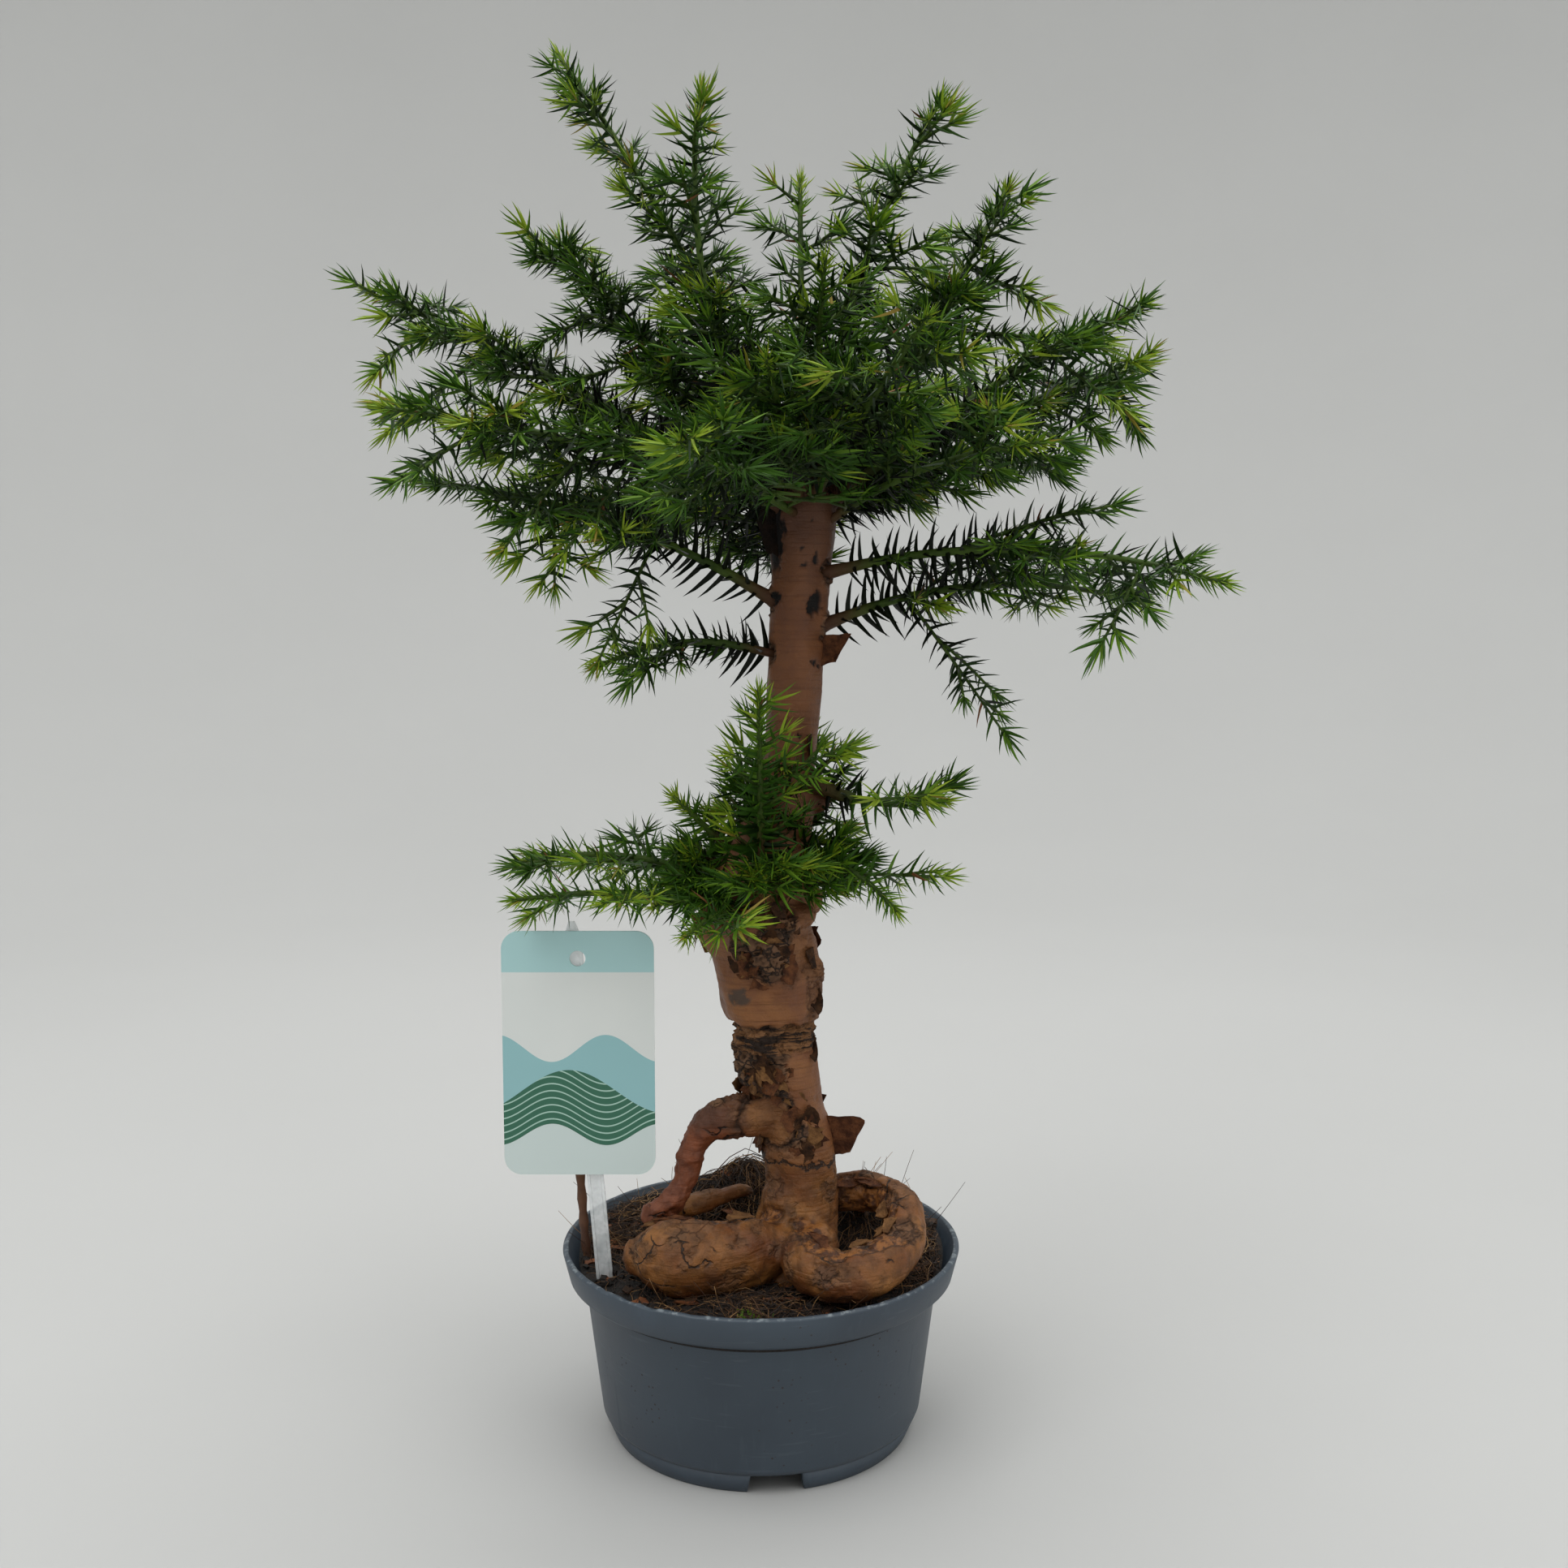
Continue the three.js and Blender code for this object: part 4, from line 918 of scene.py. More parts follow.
def pot_mesh():
    """A thin bowl with a collar and a rounded lip, on a foot ring."""
    rim, height, wall, bend, edge = [POT[name] for name in ("rim", "height", "wall", "bend", "edge")]
    inner_rim = rim - POT["lip"]
    side_top = inner_rim - POT["step"]
    collar_foot = height - POT["collar"]
    side_foot = FOOT["radius"] + FOOT["splay"]
    floor = FOOT["height"] + wall
    bowl = [
        (0.0, FOOT["height"]),
        (FOOT["radius"] - FOOT["wall"] - FOOT["draft"], FOOT["height"]),
        (side_foot - POT["chamfer"], FOOT["height"]),
        (side_foot, floor),
        (side_top, collar_foot - bend),
        (side_top + POT["crease"], collar_foot - bend + POT["chamfer"]),
        (inner_rim, collar_foot),
        (rim - POT["taper"], collar_foot + wall),
        (rim, height - 2.5 * edge),
        (rim - edge / 2, height - edge),
        (rim - 2 * edge, height),
        (rim - POT["lip_top"] + edge, height),
        (rim - POT["lip_top"], height - edge),
        (inner_rim - wall, collar_foot + bend / 2),
        (side_top - wall, collar_foot - bend / 2),
        (POT["floor"], floor),
        (0.0, floor),
    ]
    bm = bmesh.new()
    spun(bm, bowl, POT["sides"])
    add_feet(bm)
    close_up(bm)
    fray_rim(bm)
    return mesh_of(bm, "pot_shell")


def add_feet(bm):
    """The foot ring in arcs, with slanted drain notches between them."""
    outer, top, edge = FOOT["radius"], FOOT["height"], FOOT["edge"]
    inner = outer - FOOT["wall"]
    section = [
        (outer, edge), (outer + FOOT["splay"] * FOOT["ring_splay"], top), (inner - FOOT["draft"], top),
        (inner, edge), (inner + edge, 0.0), (outer - edge, 0.0), (outer, edge),
    ]
    quarter = 360 / DRAIN["count"]
    half_notch = math.degrees(DRAIN["top_width"] / 2 / outer)
    slant = math.degrees((DRAIN["width"] - DRAIN["top_width"]) / 2 / outer)
    for i in range(DRAIN["count"]):
        before = set(bm.verts)
        start = DRAIN["bearing"] + quarter * i + half_notch
        spun(bm, section, FOOT["sides"], start, quarter - 2 * half_notch)
        arc = [corner for corner in bm.verts if corner not in before]
        bmesh.ops.remove_doubles(bm, verts=arc, dist=SAME_PLACE)
        arc = [corner for corner in bm.verts if corner not in before]
        rims = {side for corner in arc for side in corner.link_edges if side.is_boundary}
        bmesh.ops.holes_fill(bm, edges=list(rims))
        middle = start + quarter / 2 - half_notch
        for corner in arc:
            bearing = math.degrees(math.atan2(corner.co.y, corner.co.x))
            away = (bearing - middle + 180) % 360 - 180
            pull = -slant * (1 - corner.co.z / MM / top) * away / (quarter / 2 - half_notch)
            corner.co = Matrix.Rotation(math.radians(pull), 3, "Z") @ corner.co


def fray_rim(bm):
    """Small nicks in the lip, more of them at the left where it is torn."""
    for corner in bm.verts:
        if corner.co.z > (POT["height"] - NICKS["below_top"]) * MM:
            from_tear = math.atan2(corner.co.y, corner.co.x) - math.radians(NICKS["torn_bearing"])
            torn = max(0.0, math.cos(from_tear)) ** NICKS["torn_sharpness"]
            nick = max(0.0, noise.noise(corner.co * NICKS["density"]) - NICKS["rarity"])
            corner.co.z -= nick * (NICKS["depth"] + NICKS["torn_depth"] * torn) * MM


# Soil

def soil_height(x, y):
    """Height of the ground: flat under the roots, with heaps of fibre, and sloped at the pot's wall."""
    edge = rises(np.hypot(x, y), SOIL["flat"], SOIL["edge"])
    slope = SOIL["front"] + (SOIL["back"] - SOIL["front"]) * rises(y, *SOIL["slope"])
    heaped = sum(h * np.exp(-((x - hx) ** 2 + (y - hy) ** 2) / spread**2) for hx, hy, spread, h in HEAPS)
    return SOIL["level"] + slope * edge + heaped * (1 - edge)


def soil_at(x, y):
    return float(soil_height(np.array(x), np.array(y)))


def soil_mesh():
    """Crumbly ground inside the pot's wall, closed below."""
    bm = bmesh.new()
    radii = np.linspace(0, SOIL["edge"] + SOIL["overlap"], SOIL["rings"])
    profile = [(radius, SOIL["level"]) for radius in radii]
    profile += [(SOIL["edge"] - SOIL["inset"], SOIL["underside"]), (0.0, SOIL["underside"])]
    spun(bm, profile, SOIL["sides"])
    close_up(bm)
    kinds = (CRUMBS["coarse"], CRUMBS["fine"])
    for corner in bm.verts:
        x, y, z = corner.co / MM
        if z > SOIL["underside"] + 1:
            coarse, fine = [fractal(corner.co * density, octaves) for density, octaves in kinds]
            crumbs = coarse + CRUMBS["fine_share"] * fine
            corner.co.z = (soil_at(x, y) + CRUMBS["height"] * crumbs) * MM
    return mesh_of(bm, "soil_ground")


def strewn_places(random, count, reach):
    """Places on the ground, evenly strewn inside a radius."""
    radii = reach * np.sqrt(random.random(count))
    turns = random.random(count) * 2 * np.pi
    return list(zip(radii * np.cos(turns), radii * np.sin(turns)))


def heap_places(random, count):
    """Places on the heaps, more of them near their tops."""
    places = []
    for i in random.integers(0, len(HEAPS), count):
        x, y, spread, _ = HEAPS[i]
        places.append((x + random.normal(0, spread / 2), y + random.normal(0, spread / 2)))
    return places


def ground_fibres():
    """Fine roots that lie on the ground in loose curls, and some that stand up past the rim."""
    random = np.random.default_rng(FIBRES["seed"])
    fibres = Cluster()
    for x, y in strewn_places(random, FIBRES["strewn"], SOIL["edge"]) + heap_places(random, FIBRES["heaped"]):
        add_fibre(fibres, x, y, random)
    for _ in range(HAIRS["count"]):
        add_hair(fibres, random)
    return fibres.mesh("ground_fibres", True)


def add_fibre(fibres, x, y, random):
    """A thread that wanders over the ground, partly lifted off it."""
    turn = random.random() * 2 * np.pi
    lift = FIBRES["lift"] + FIBRES["more_lift"] * random.random() ** 2
    line = []
    for _ in range(random.integers(*FIBRES["points"])):
        if math.hypot(x, y) > SOIL["edge"]:
            break
        line.append((x, y, soil_at(x, y) + lift))
        turn += random.normal(0, FIBRES["wander"])
        lift = abs(lift + random.normal(0, FIBRES["waver"]))
        x, y = x + FIBRES["step"] * math.cos(turn), y + FIBRES["step"] * math.sin(turn)
    if len(line) >= FIBRES["fewest"]:
        radius = FIBRES["thin"] + FIBRES["thicker"] * random.random() ** 4
        shade = int(random.choice(len(FIBRE_SHADES), p=FIBRES["shares"]))
        fibres.add_tube(np.array(line), np.linspace(radius, radius / 2, len(line)), FIBRES["sides"], shade)


def add_hair(fibres, random):
    """A stiff hair that rises from the ground, mostly outwards."""
    turn = random.random() * 2 * np.pi
    radius = HAIRS["inner"] + HAIRS["band"] * random.random()
    x, y = radius * math.cos(turn), radius * math.sin(turn)
    way = np.array([math.cos(turn) * HAIRS["outward"], math.sin(turn) * HAIRS["outward"], 1.0])
    way = way + random.normal(0, HAIRS["scatter"], 3)
    way[2] = abs(way[2]) + HAIRS["least_rise"]
    way /= np.linalg.norm(way)
    bow = random.normal(0, HAIRS["bow"], 3)
    reach = HAIRS["short"] + HAIRS["longer"] * random.random()
    share = np.linspace(0, 1, HAIRS["points"])[:, None]
    line = np.array([x, y, soil_at(x, y)]) + way * reach * share + bow * reach * share**2
    radii = np.linspace(HAIRS["foot"], HAIRS["tip"], HAIRS["points"])
    fibres.add_tube(line, radii, FIBRES["sides"], int(random.integers(0, len(FIBRE_SHADES))))


def ground_chips():
    """Bark chips and crumbs of peat on the ground."""
    random = np.random.default_rng(CHIPS["seed"])
    chips = Cluster()
    box = [(0, 1, 3, 2), (4, 6, 7, 5), (0, 4, 5, 1), (2, 3, 7, 6), (0, 2, 6, 4), (1, 5, 7, 3)]
    corners = np.array([(x, y, z) for x in (-1, 1) for y in (-1, 1) for z in (-1, 1)], float)
    for x, y in strewn_places(random, CHIPS["count"], CHIPS["reach"]):
        crumb = random.random() < CHIPS["crumb_share"]
        if crumb:
            size = random.uniform(*CHIPS["crumb"], 3)
        else:
            size = random.uniform(CHIPS["smallest"], CHIPS["largest"])
        shape = corners * size * random.uniform(*CHIPS["uneven"], (8, 3))
        turn = Matrix.Rotation(random.random() * CHIPS["turn"], 3, "Z")
        turn = turn @ Matrix.Rotation(random.normal(0, CHIPS["tilt"]), 3, "X")
        shade = 0 if crumb else int(random.integers(1, 1 + len(CHIP_SHADES)))
        chips.add(shape @ np.array(turn).T + (x, y, soil_at(x, y) + CHIPS["lift"]), box, shade)
    return chips.mesh("ground_chips", False)


def moss_sprig():
    """A tuft of small green leaves at the front of the pot."""
    random = np.random.default_rng(MOSS["seed"])
    moss = Cluster()
    for _ in range(MOSS["leaves"]):
        x, y = [middle + random.normal(0, spread) for middle, spread in zip(MOSS["centre"], MOSS["spread"])]
        bearing = random.random() * 360
        length = MOSS["short"] + MOSS["longer"] * random.random()
        way = heading(bearing, MOSS["rise"] + MOSS["more_rise"] * random.random())
        leaf = needle_row(Vector((x, y, soil_at(x, y))), way, UP, length, length * MOSS["width"])
        moss.add(*needle_shapes([leaf]))
    return moss.mesh("moss_sprig", False)


# Trunk and roots

def trunk_at(height):
    """Centre x and y and radius of the trunk at each height."""
    return smooth_rows(TRUNK, height).T


def trunk_beside(height):
    """The same at heights that may lie above or below the trunk."""
    return trunk_at(np.clip(height, TRUNK_LOW, TRUNK_HIGH))


def add_trunk(bm):
    low = TRUNK_LOW - TRUNK_SKIN["sunk"]

    def place(turn, share):
        height = low + (TRUNK_HIGH - low) * share
        x, y, radius = trunk_at(np.array([max(height, TRUNK_LOW)]))[:, 0]
        angle = 2 * math.pi * turn
        row = float(np.interp(height, [row[0] for row in TRUNK], range(len(TRUNK))))
        wide = TRUNK_SKIN["wide_flutes"] * math.sin(3 * angle + row)
        narrow = TRUNK_SKIN["narrow_flutes"] * math.sin(5 * angle - 2 * row)
        radius *= 1 + wide + narrow
        return Vector((x + radius * math.cos(angle), y - radius * math.sin(angle), height)) * MM

    wrapped_grid(bm, TRUNK_SKIN["around"], TRUNK_SKIN["along"], place)


def add_root(bm, points):
    """A tapering tube with round ends."""
    around = ROOT_SKIN["around"]
    table = smooth_line(points, ROOT_SKIN["steps"])
    rings = tube_rings(table[:, :3], table[:, 3], around)
    last = len(rings) - 1

    def place(turn, share):
        return Vector(rings[round(share * last)][round(turn * around) % around]) * MM

    wrapped_grid(bm, around, last, place)
    for end in (table[0], table[-1]):
        centre = Matrix.Translation(Vector(end[:3]) * MM)
        bmesh.ops.create_icosphere(bm, subdivisions=3, radius=end[3] * ROOT_SKIN["end"] * MM, matrix=centre)


def voxel_skin(bm):
    """One closed skin round all the shapes in a bmesh, smoothed where they meet."""
    rough = bpy.data.objects.new("rough_bark", mesh_of(bm, "rough_bark"))
    bpy.context.scene.collection.objects.link(rough)
    remesh = rough.modifiers.new("skin", "REMESH")
    remesh.mode = "VOXEL"
    remesh.voxel_size = SKIN["voxel"] * MM
    bpy.context.view_layer.update()
    skin = bpy.data.meshes.new_from_object(rough.evaluated_get(bpy.context.evaluated_depsgraph_get()))
    bpy.data.objects.remove(rough)
    smoothed = bmesh.new()
    smoothed.from_mesh(skin)
    axes = {"use_axis_x": True, "use_axis_y": True, "use_axis_z": True}
    for _ in range(SKIN["passes"]):
        bmesh.ops.smooth_vert(smoothed, verts=smoothed.verts, factor=SKIN["smoothing"], **axes)
    return mesh_of(smoothed, "bark_skin")


def grain(points, name):
    """One of the relief's kinds of noise."""
    size, octaves, shift = GRAINS[name]
    return np.array([fractal(Vector(point), octaves) for point in (points + shift) / size])


class Skin:
    """Points of the bark's skin, with where they lie on the trunk and the noise there."""

    def __init__(self, points):
        self.points = points
        x, y, self.z = points.T
        cx, cy, self.radius = trunk_beside(self.z)
        self.before = cy - y
        self.share = (x - cx) / self.radius
        self.away = np.hypot(x - cx, y - cy) / self.radius
        self.broad = grain(points, "broad")
        self.fine = grain(points, "fine")
        self.grit = grain(points, "grit")
        self.wander = self.share + WAVER["across"] * self.broad

    def distance(self, centre):
        return np.linalg.norm(self.points - centre, axis=1)


def arch_share(skin):
    """1 on the arching root, past its foot in the trunk."""
    line = smooth_line(ROOTS["root_arch"], ROOT_STEPS)[ARCH_FOOT:, :3]
    distance = np.min(np.linalg.norm(skin.points[:, None] - line[None], axis=2), axis=1)
    return fades(distance, *ARCH_EDGE)


def root_share(skin, cheek):
    """1 on the roots, less on the cheek."""
    beside = rises(skin.away, *BESIDE_EDGE) * fades(skin.z, *HEIGHTS["beside_end"])
    roots = np.clip(np.maximum(fades(skin.z, *HEIGHTS["roots_end"]), beside), 0, 1)
    return np.maximum(roots, CHEEK["root"] * cheek)


def ring_share(skin):
    """1 where the trunk is ringed."""
    low, high = RINGS
    start, end = RING_ENDS
    return rises(skin.z, low, low + start) * fades(skin.z + WAVER["rings"] * skin.fine, high - end, high)


def knobby_share(skin):
    """1 on the knobby bark under the low twigs."""
    start = rises(skin.z + WAVER["knobby"] * skin.fine, *HEIGHTS["knobby_start"])
    knobby = start * fades(skin.z, *HEIGHTS["knobby_end"]) * rises(skin.wander, *ACROSS["knobby_start"])
    return knobby * (1 - STRENGTH["thin_knobs"] * rises(skin.wander, *ACROSS["knobby_thin"]))


def rough_share(skin, cheek, knobby, rings):
    """1 where bark peels: left below the rings, right over them, on knobs, collars and the head."""
    level = skin.z + WAVER["left"] * skin.fine
    left = rises(level, *HEIGHTS["left_start"]) * fades(level, *HEIGHTS["left_end"])
    left = left * (1 - CHEEK["smooth"] * cheek) * fades(skin.wander, *ACROSS["left_end"])
    right = rises(skin.z, *HEIGHTS["right_start"]) * fades(skin.z, *HEIGHTS["right_end"])
    right = right * rises(skin.wander, *ACROSS["right_start"])
    head = rises(skin.z + WAVER["head"] * skin.broad, *HEIGHTS["head_start"])
    for name in COLLARS:
        *course, _, _ = SHOOTS[name]
        distance = skin.distance(shoot_stem(*course).line[0]) + WAVER["collar"] * skin.fine
        left = np.maximum(left, STRENGTH["collar"] * fades(distance, *COLLAR_EDGE))
    return np.clip(np.maximum.reduce([left, knobby, right * STRENGTH["right"], rings, head]), 0, 1)


def scar_share(skin, root):
    """Patches of dark, torn bark on the roots, and their scars."""
    patches = root * rises(grain(skin.points, "patches"), *PATCH_EDGE) * STRENGTH["patches"]
    fine, grit = WAVER["scar"]
    for *centre, reach in SCARS:
        distance = skin.distance(centre) + fine * skin.fine + grit * skin.grit
        patches = np.maximum(patches, fades(distance, SCAR_MIDDLE * reach, reach))
    return patches


def cheek_crease(skin):
    """The fold at the front of the cheek's edge, which is sunk and darkened with painted shade."""
    from_edge = skin.distance(CHEEK["centre"]) + WAVER["crease"] * skin.fine - CHEEK["reach"]
    crease = np.exp(-((from_edge / CHEEK["crease_width"]) ** 2))
    return crease * (rises(skin.before, *CHEEK["front"]) * fades(skin.wander, *ACROSS["crease_end"]))


def oval(z, share, radius, mark_row):
    """1 in the middle of an oval mark on the trunk, 0 outside it."""
    height, across, half_width, half_height = mark_row[:4]
    away = np.hypot((share - across) * radius / half_width, (z - height) / half_height)
    return fades(away, *MARK_EDGE)


def wound_marks(skin):
    """The share of each wound, with ragged edges, on the front of the trunk."""
    fine, grit = WAVER["wound"]
    z = skin.z + fine * skin.fine + grit * skin.grit
    share = skin.share + (fine * skin.fine - grit * skin.grit) / skin.radius
    return [oval(z, share, skin.radius, wound) for wound in WOUNDS]


def torn_layers(points):
    """Peeling bark: noise cut into flat steps. Gives each point's level and how near it is to a step's torn
    foot, where a shadow is painted.
    """
    scaled = grain(points * (1, 1, LAYERS["flatten"]), "layers") * LAYERS["count"]
    whole = np.floor(scaled)
    part = scaled - whole
    torn = np.exp(-(((part - LAYERS["shadowed_tear"]) / LAYERS["shadowed_tear_width"]) ** 2))
    return (whole + rises(part, *LAYERS["rise"])) / LAYERS["count"], torn


def root_lips(points, wander):
    """The torn inner side of the thick roots: shares of the torn side and of the crack along its edge."""
    torn = np.zeros(len(points))
    edge = np.zeros(len(points))
    for name, (*middle, edge_rise) in LIPS.items():
        table = smooth_line(ROOTS[name], ROOT_STEPS)
        along, _, _ = frames_along(table[:, :3])
        nearest = np.argmin(np.linalg.norm(points[:, None] - table[None, :, :3], axis=2), axis=1)
        out = points - table[nearest, :3]
        near = fades(np.linalg.norm(out, axis=1) / table[nearest, 3], *LIP_EDGE["near"])
        inward = np.array([*middle, 0]) - table[nearest, :3] * (1, 1, 0)
        inward -= along[nearest] * np.sum(inward * along[nearest], axis=1)[:, None]
        inward /= np.linalg.norm(inward, axis=1)[:, None]
        rise = np.degrees(np.arctan2(out[:, 2], np.sum(out * inward, axis=1)))
        rise -= edge_rise + LIP_EDGE["wander"] * wander
        torn = np.maximum(torn, near * fades(rise, *LIP_EDGE["top"]) * rises(rise, *LIP_EDGE["under"]))
        edge = np.maximum(edge, near * np.exp(-((rise / LIP_EDGE["crack_and_shadow"]) ** 2)))
    return torn, edge


def grain_relief(skin, rough, root):
    """The bark's own grain, coarser on the lower trunk."""
    broad = RELIEF["broad"] + RELIEF["broad_below"] * fades(skin.z, *HEIGHTS["coarse_end"])
    relief = broad * skin.broad + RELIEF["fine"] * skin.fine * (SMOOTH["fine"] + root)
    return relief + RELIEF["grit"] * skin.grit * (SMOOTH["grit"] + rough + SMOOTH["root_grit"] * root)


def peeling_relief(layer, torn, rough, scars):
    """The layers of peeling bark, sunk where they are torn, and those of the scars."""
    peeling = RELIEF["layers"] * rough * layer - RELIEF["tears"] * torn * rough
    return peeling + RELIEF["scars"] * scars * layer


def lip_relief(points, lip, lip_edge):
    """The torn sides of the roots, which are sunk and uneven."""
    uneven = RELIEF["lip_grain"] * lip * grain(points, "lip")
    return uneven - RELIEF["lip"] * lip - RELIEF["lip_edge"] * lip_edge


def ring_relief(skin, rings):
    """Fine level ridges, a little sunk into the bark."""
    waves = np.sin(2 * np.pi * (skin.z + WAVER["ring_waves"] * skin.fine) / RING_STEP)
    return RELIEF["rings"] * waves * rings - RELIEF["ring_sink"] * rings


def ring_edge_relief(skin):
    """The edge of the smooth bark over the rings, which stands out."""
    edge = rises(skin.z + WAVER["ring_edge"] * skin.fine, *HEIGHTS["ring_edge_start"])
    return RELIEF["ring_edge"] * edge * fades(skin.z, *HEIGHTS["ring_edge_end"])


def bark_fields(points):
    """Relief in millimetres and the shares of each kind of bark, at points of the skin."""
    skin = Skin(points)
    arch = arch_share(skin)
    cheek = fades(skin.distance(CHEEK["centre"]), CHEEK["inner"] * CHEEK["reach"], CHEEK["reach"])
    root = root_share(skin, cheek)
    rings = ring_share(skin)
    knobby = knobby_share(skin)
    rough = rough_share(skin, cheek, knobby, rings) * (1 - arch)
    scars = scar_share(skin, root) * (1 - arch)
    layer, torn = torn_layers(points)
    lip, lip_edge = root_lips(points, grain(points, "lip_edge"))
    crease = cheek_crease(skin)
    # Painted shadow: a dark line at the foot of each step of peeling bark and of the scars, where the step
    # above would shade it.
    painted_step_shadow = torn * rough * (1 - STRENGTH["thin_step_shadows"] * rings)
    # The crack_and_shadow mark holds these painted shadows, the painted shade of the crease, and the real
    # cracks along the roots' torn edges.
    crack_and_shadow = np.maximum.reduce([painted_step_shadow, STRENGTH["scars"] * torn * scars, lip_edge * root, crease])
    front = rises(skin.before, *(edge * skin.radius for edge in FRONT))
    marks = [wound * front for wound in wound_marks(skin)]
    waver = WAVER["grey"] * skin.fine
    grey = oval(skin.z + skin.fine, skin.share + waver, skin.radius, GREY_PATCH) * front

    relief = grain_relief(skin, rough, root)
    relief += peeling_relief(layer, torn, rough, scars)
    relief += root * lip_relief(points, lip, lip_edge) - RELIEF["crease"] * crease
    relief += arch * (RELIEF["arch_fine"] * skin.fine + RELIEF["arch_grit"] * skin.grit)
    relief += ring_relief(skin, rings)
    relief += ring_edge_relief(skin)
    relief += RELIEF["knobs"] * knobby * np.maximum(grain(points, "knobs"), RELIEF["knob_floor"])
    relief -= sum(depth * wound for (*_, depth), wound in zip(WOUNDS, marks))
    return relief, {
        "rough": np.maximum(rough, STRENGTH["scars"] * scars), "crack_and_shadow": np.clip(crack_and_shadow, 0, 1),
        "wound": np.clip(np.maximum.reduce(marks), 0, 1), "root": root, "arch": arch, "grey": grey,
        "lip": lip * root * (1 - arch),
    }


def bark_mesh():
    """Trunk and roots as one skin with the bark's relief."""
    bm = bmesh.new()
    add_trunk(bm)
    for points in ROOTS.values():
        add_root(bm, points)
    for x, y, z, *half_sizes in KNOBS:
        place = Matrix.Translation(Vector((x, y, z)) * MM) @ Matrix.Diagonal((*half_sizes, 1))
        bmesh.ops.create_icosphere(bm, subdivisions=3, radius=MM, matrix=place)
    mesh = voxel_skin(bm)
    points = places_of(mesh) / MM
    normals = places_of(mesh, "normal")
    relief, shares = bark_fields(points)
    points += normals * relief[:, None]
    mesh.vertices.foreach_set("co", (points * MM).ravel())
    for name, values in shares.items():
        mark(mesh, name, values)
    mesh.update()
    return mesh


# Flakes of bark

def add_sheet(sheets, place, shade, seed):
    """A thin sheet of bark, put where place(along, level, ragged) says for along 0 to 1 and level -1 to 1."""
    count, limit = SHEET["rows"], SHEET["most_ragged"]
    front = np.empty((count, count, 3))
    for i, along in enumerate(np.linspace(0, 1, count)):
        for j, level in enumerate(np.linspace(-1, 1, count)):
            spot = Vector((along, level, seed * SHEET["seed"]))
            coarse = noise.noise(spot * SHEET["coarse"])
            ragged = coarse + SHEET["fine_share"] * noise.noise(spot * SHEET["fine"])
            front[i, j] = place(along, level, max(-limit, min(limit, ragged)))
    facing = np.cross(np.gradient(front, axis=0), np.gradient(front, axis=1))
    facing /= np.linalg.norm(facing, axis=2)[..., None]
    sheets.add_slab(front, front - facing * SHEET["thickness"], shade)


def add_flake(sheets, foot, bearing, rise, width, height, curl, shade, seed):
    """A torn sheet that stands out of the trunk and curls away."""
    out = heading(bearing, rise)
    up = steady_side(out).cross(out)
    facing = out.cross(up)

    def place(along, level, ragged):
        bend = math.radians(curl) * along * along
        reach = width * along * (1 + FLAKE["ragged_end"] * ragged + FLAKE["slant"] * level)
        edge = up * height / 2 * (level * (1 - FLAKE["narrowing"] * along) + FLAKE["ragged_side"] * ragged)
        forward = out * (reach * math.cos(bend) - FLAKE["sunk"])
        return Vector(foot) + forward + facing * reach * math.sin(bend) + edge

    add_sheet(sheets, place, shade, seed)


def add_scale(sheets, foot, normal, way, size, half_width, shade, seed):
    """A scale that is fast at one edge and lifts off the bark towards the other."""
    beside = normal.cross(way).normalized()

    def place(along, level, ragged):
        free = along * (1 - SCALE["rounding"] * level * level) * (1 + SCALE["ragged_end"] * ragged)
        lift = size * (SCALE["gap"] + SCALE["lift"] * free * free)
        lift = lift - SCALE["sunk"] - SCALE["sunk_side"] * level * level
        side = beside * half_width * (level + SCALE["ragged_side"] * ragged)
        return foot + normal * lift + way * size * free + side

    add_sheet(sheets, place, shade, seed)


def add_trunk_scales(sheets, random):
    """Scales at those places that have rough bark."""
    heights = random.uniform(SCALES["low"], SCALES["high"], SCALES["tries"])
    bearings = random.uniform(0, 360, SCALES["tries"])
    x, y, radius = trunk_at(heights)
    normals = [heading(bearing, 0) for bearing in bearings]
    feet = np.stack([x, y, heights], 1) + np.array(normals) * radius[:, None]
    ringed = (heights > RINGS[0]) & (heights < RINGS[1])
    rough = bark_fields(feet)[1]["rough"] * ~ringed
    for i in np.flatnonzero(rough > SCALES["roughest"]).tolist():
        turn = random.random() * 2 * math.pi
        way = normals[i].cross(UP) * math.cos(turn) + UP * math.sin(turn)
        size = random.uniform(SCALES["smallest"], SCALES["largest"])
        shade = int(random.integers(*SCALES["shades"]))
        half_width = size * SCALES["width"]
        add_scale(sheets, Vector(feet[i]), normals[i], way, size, half_width, shade, len(FLAKES) + i)


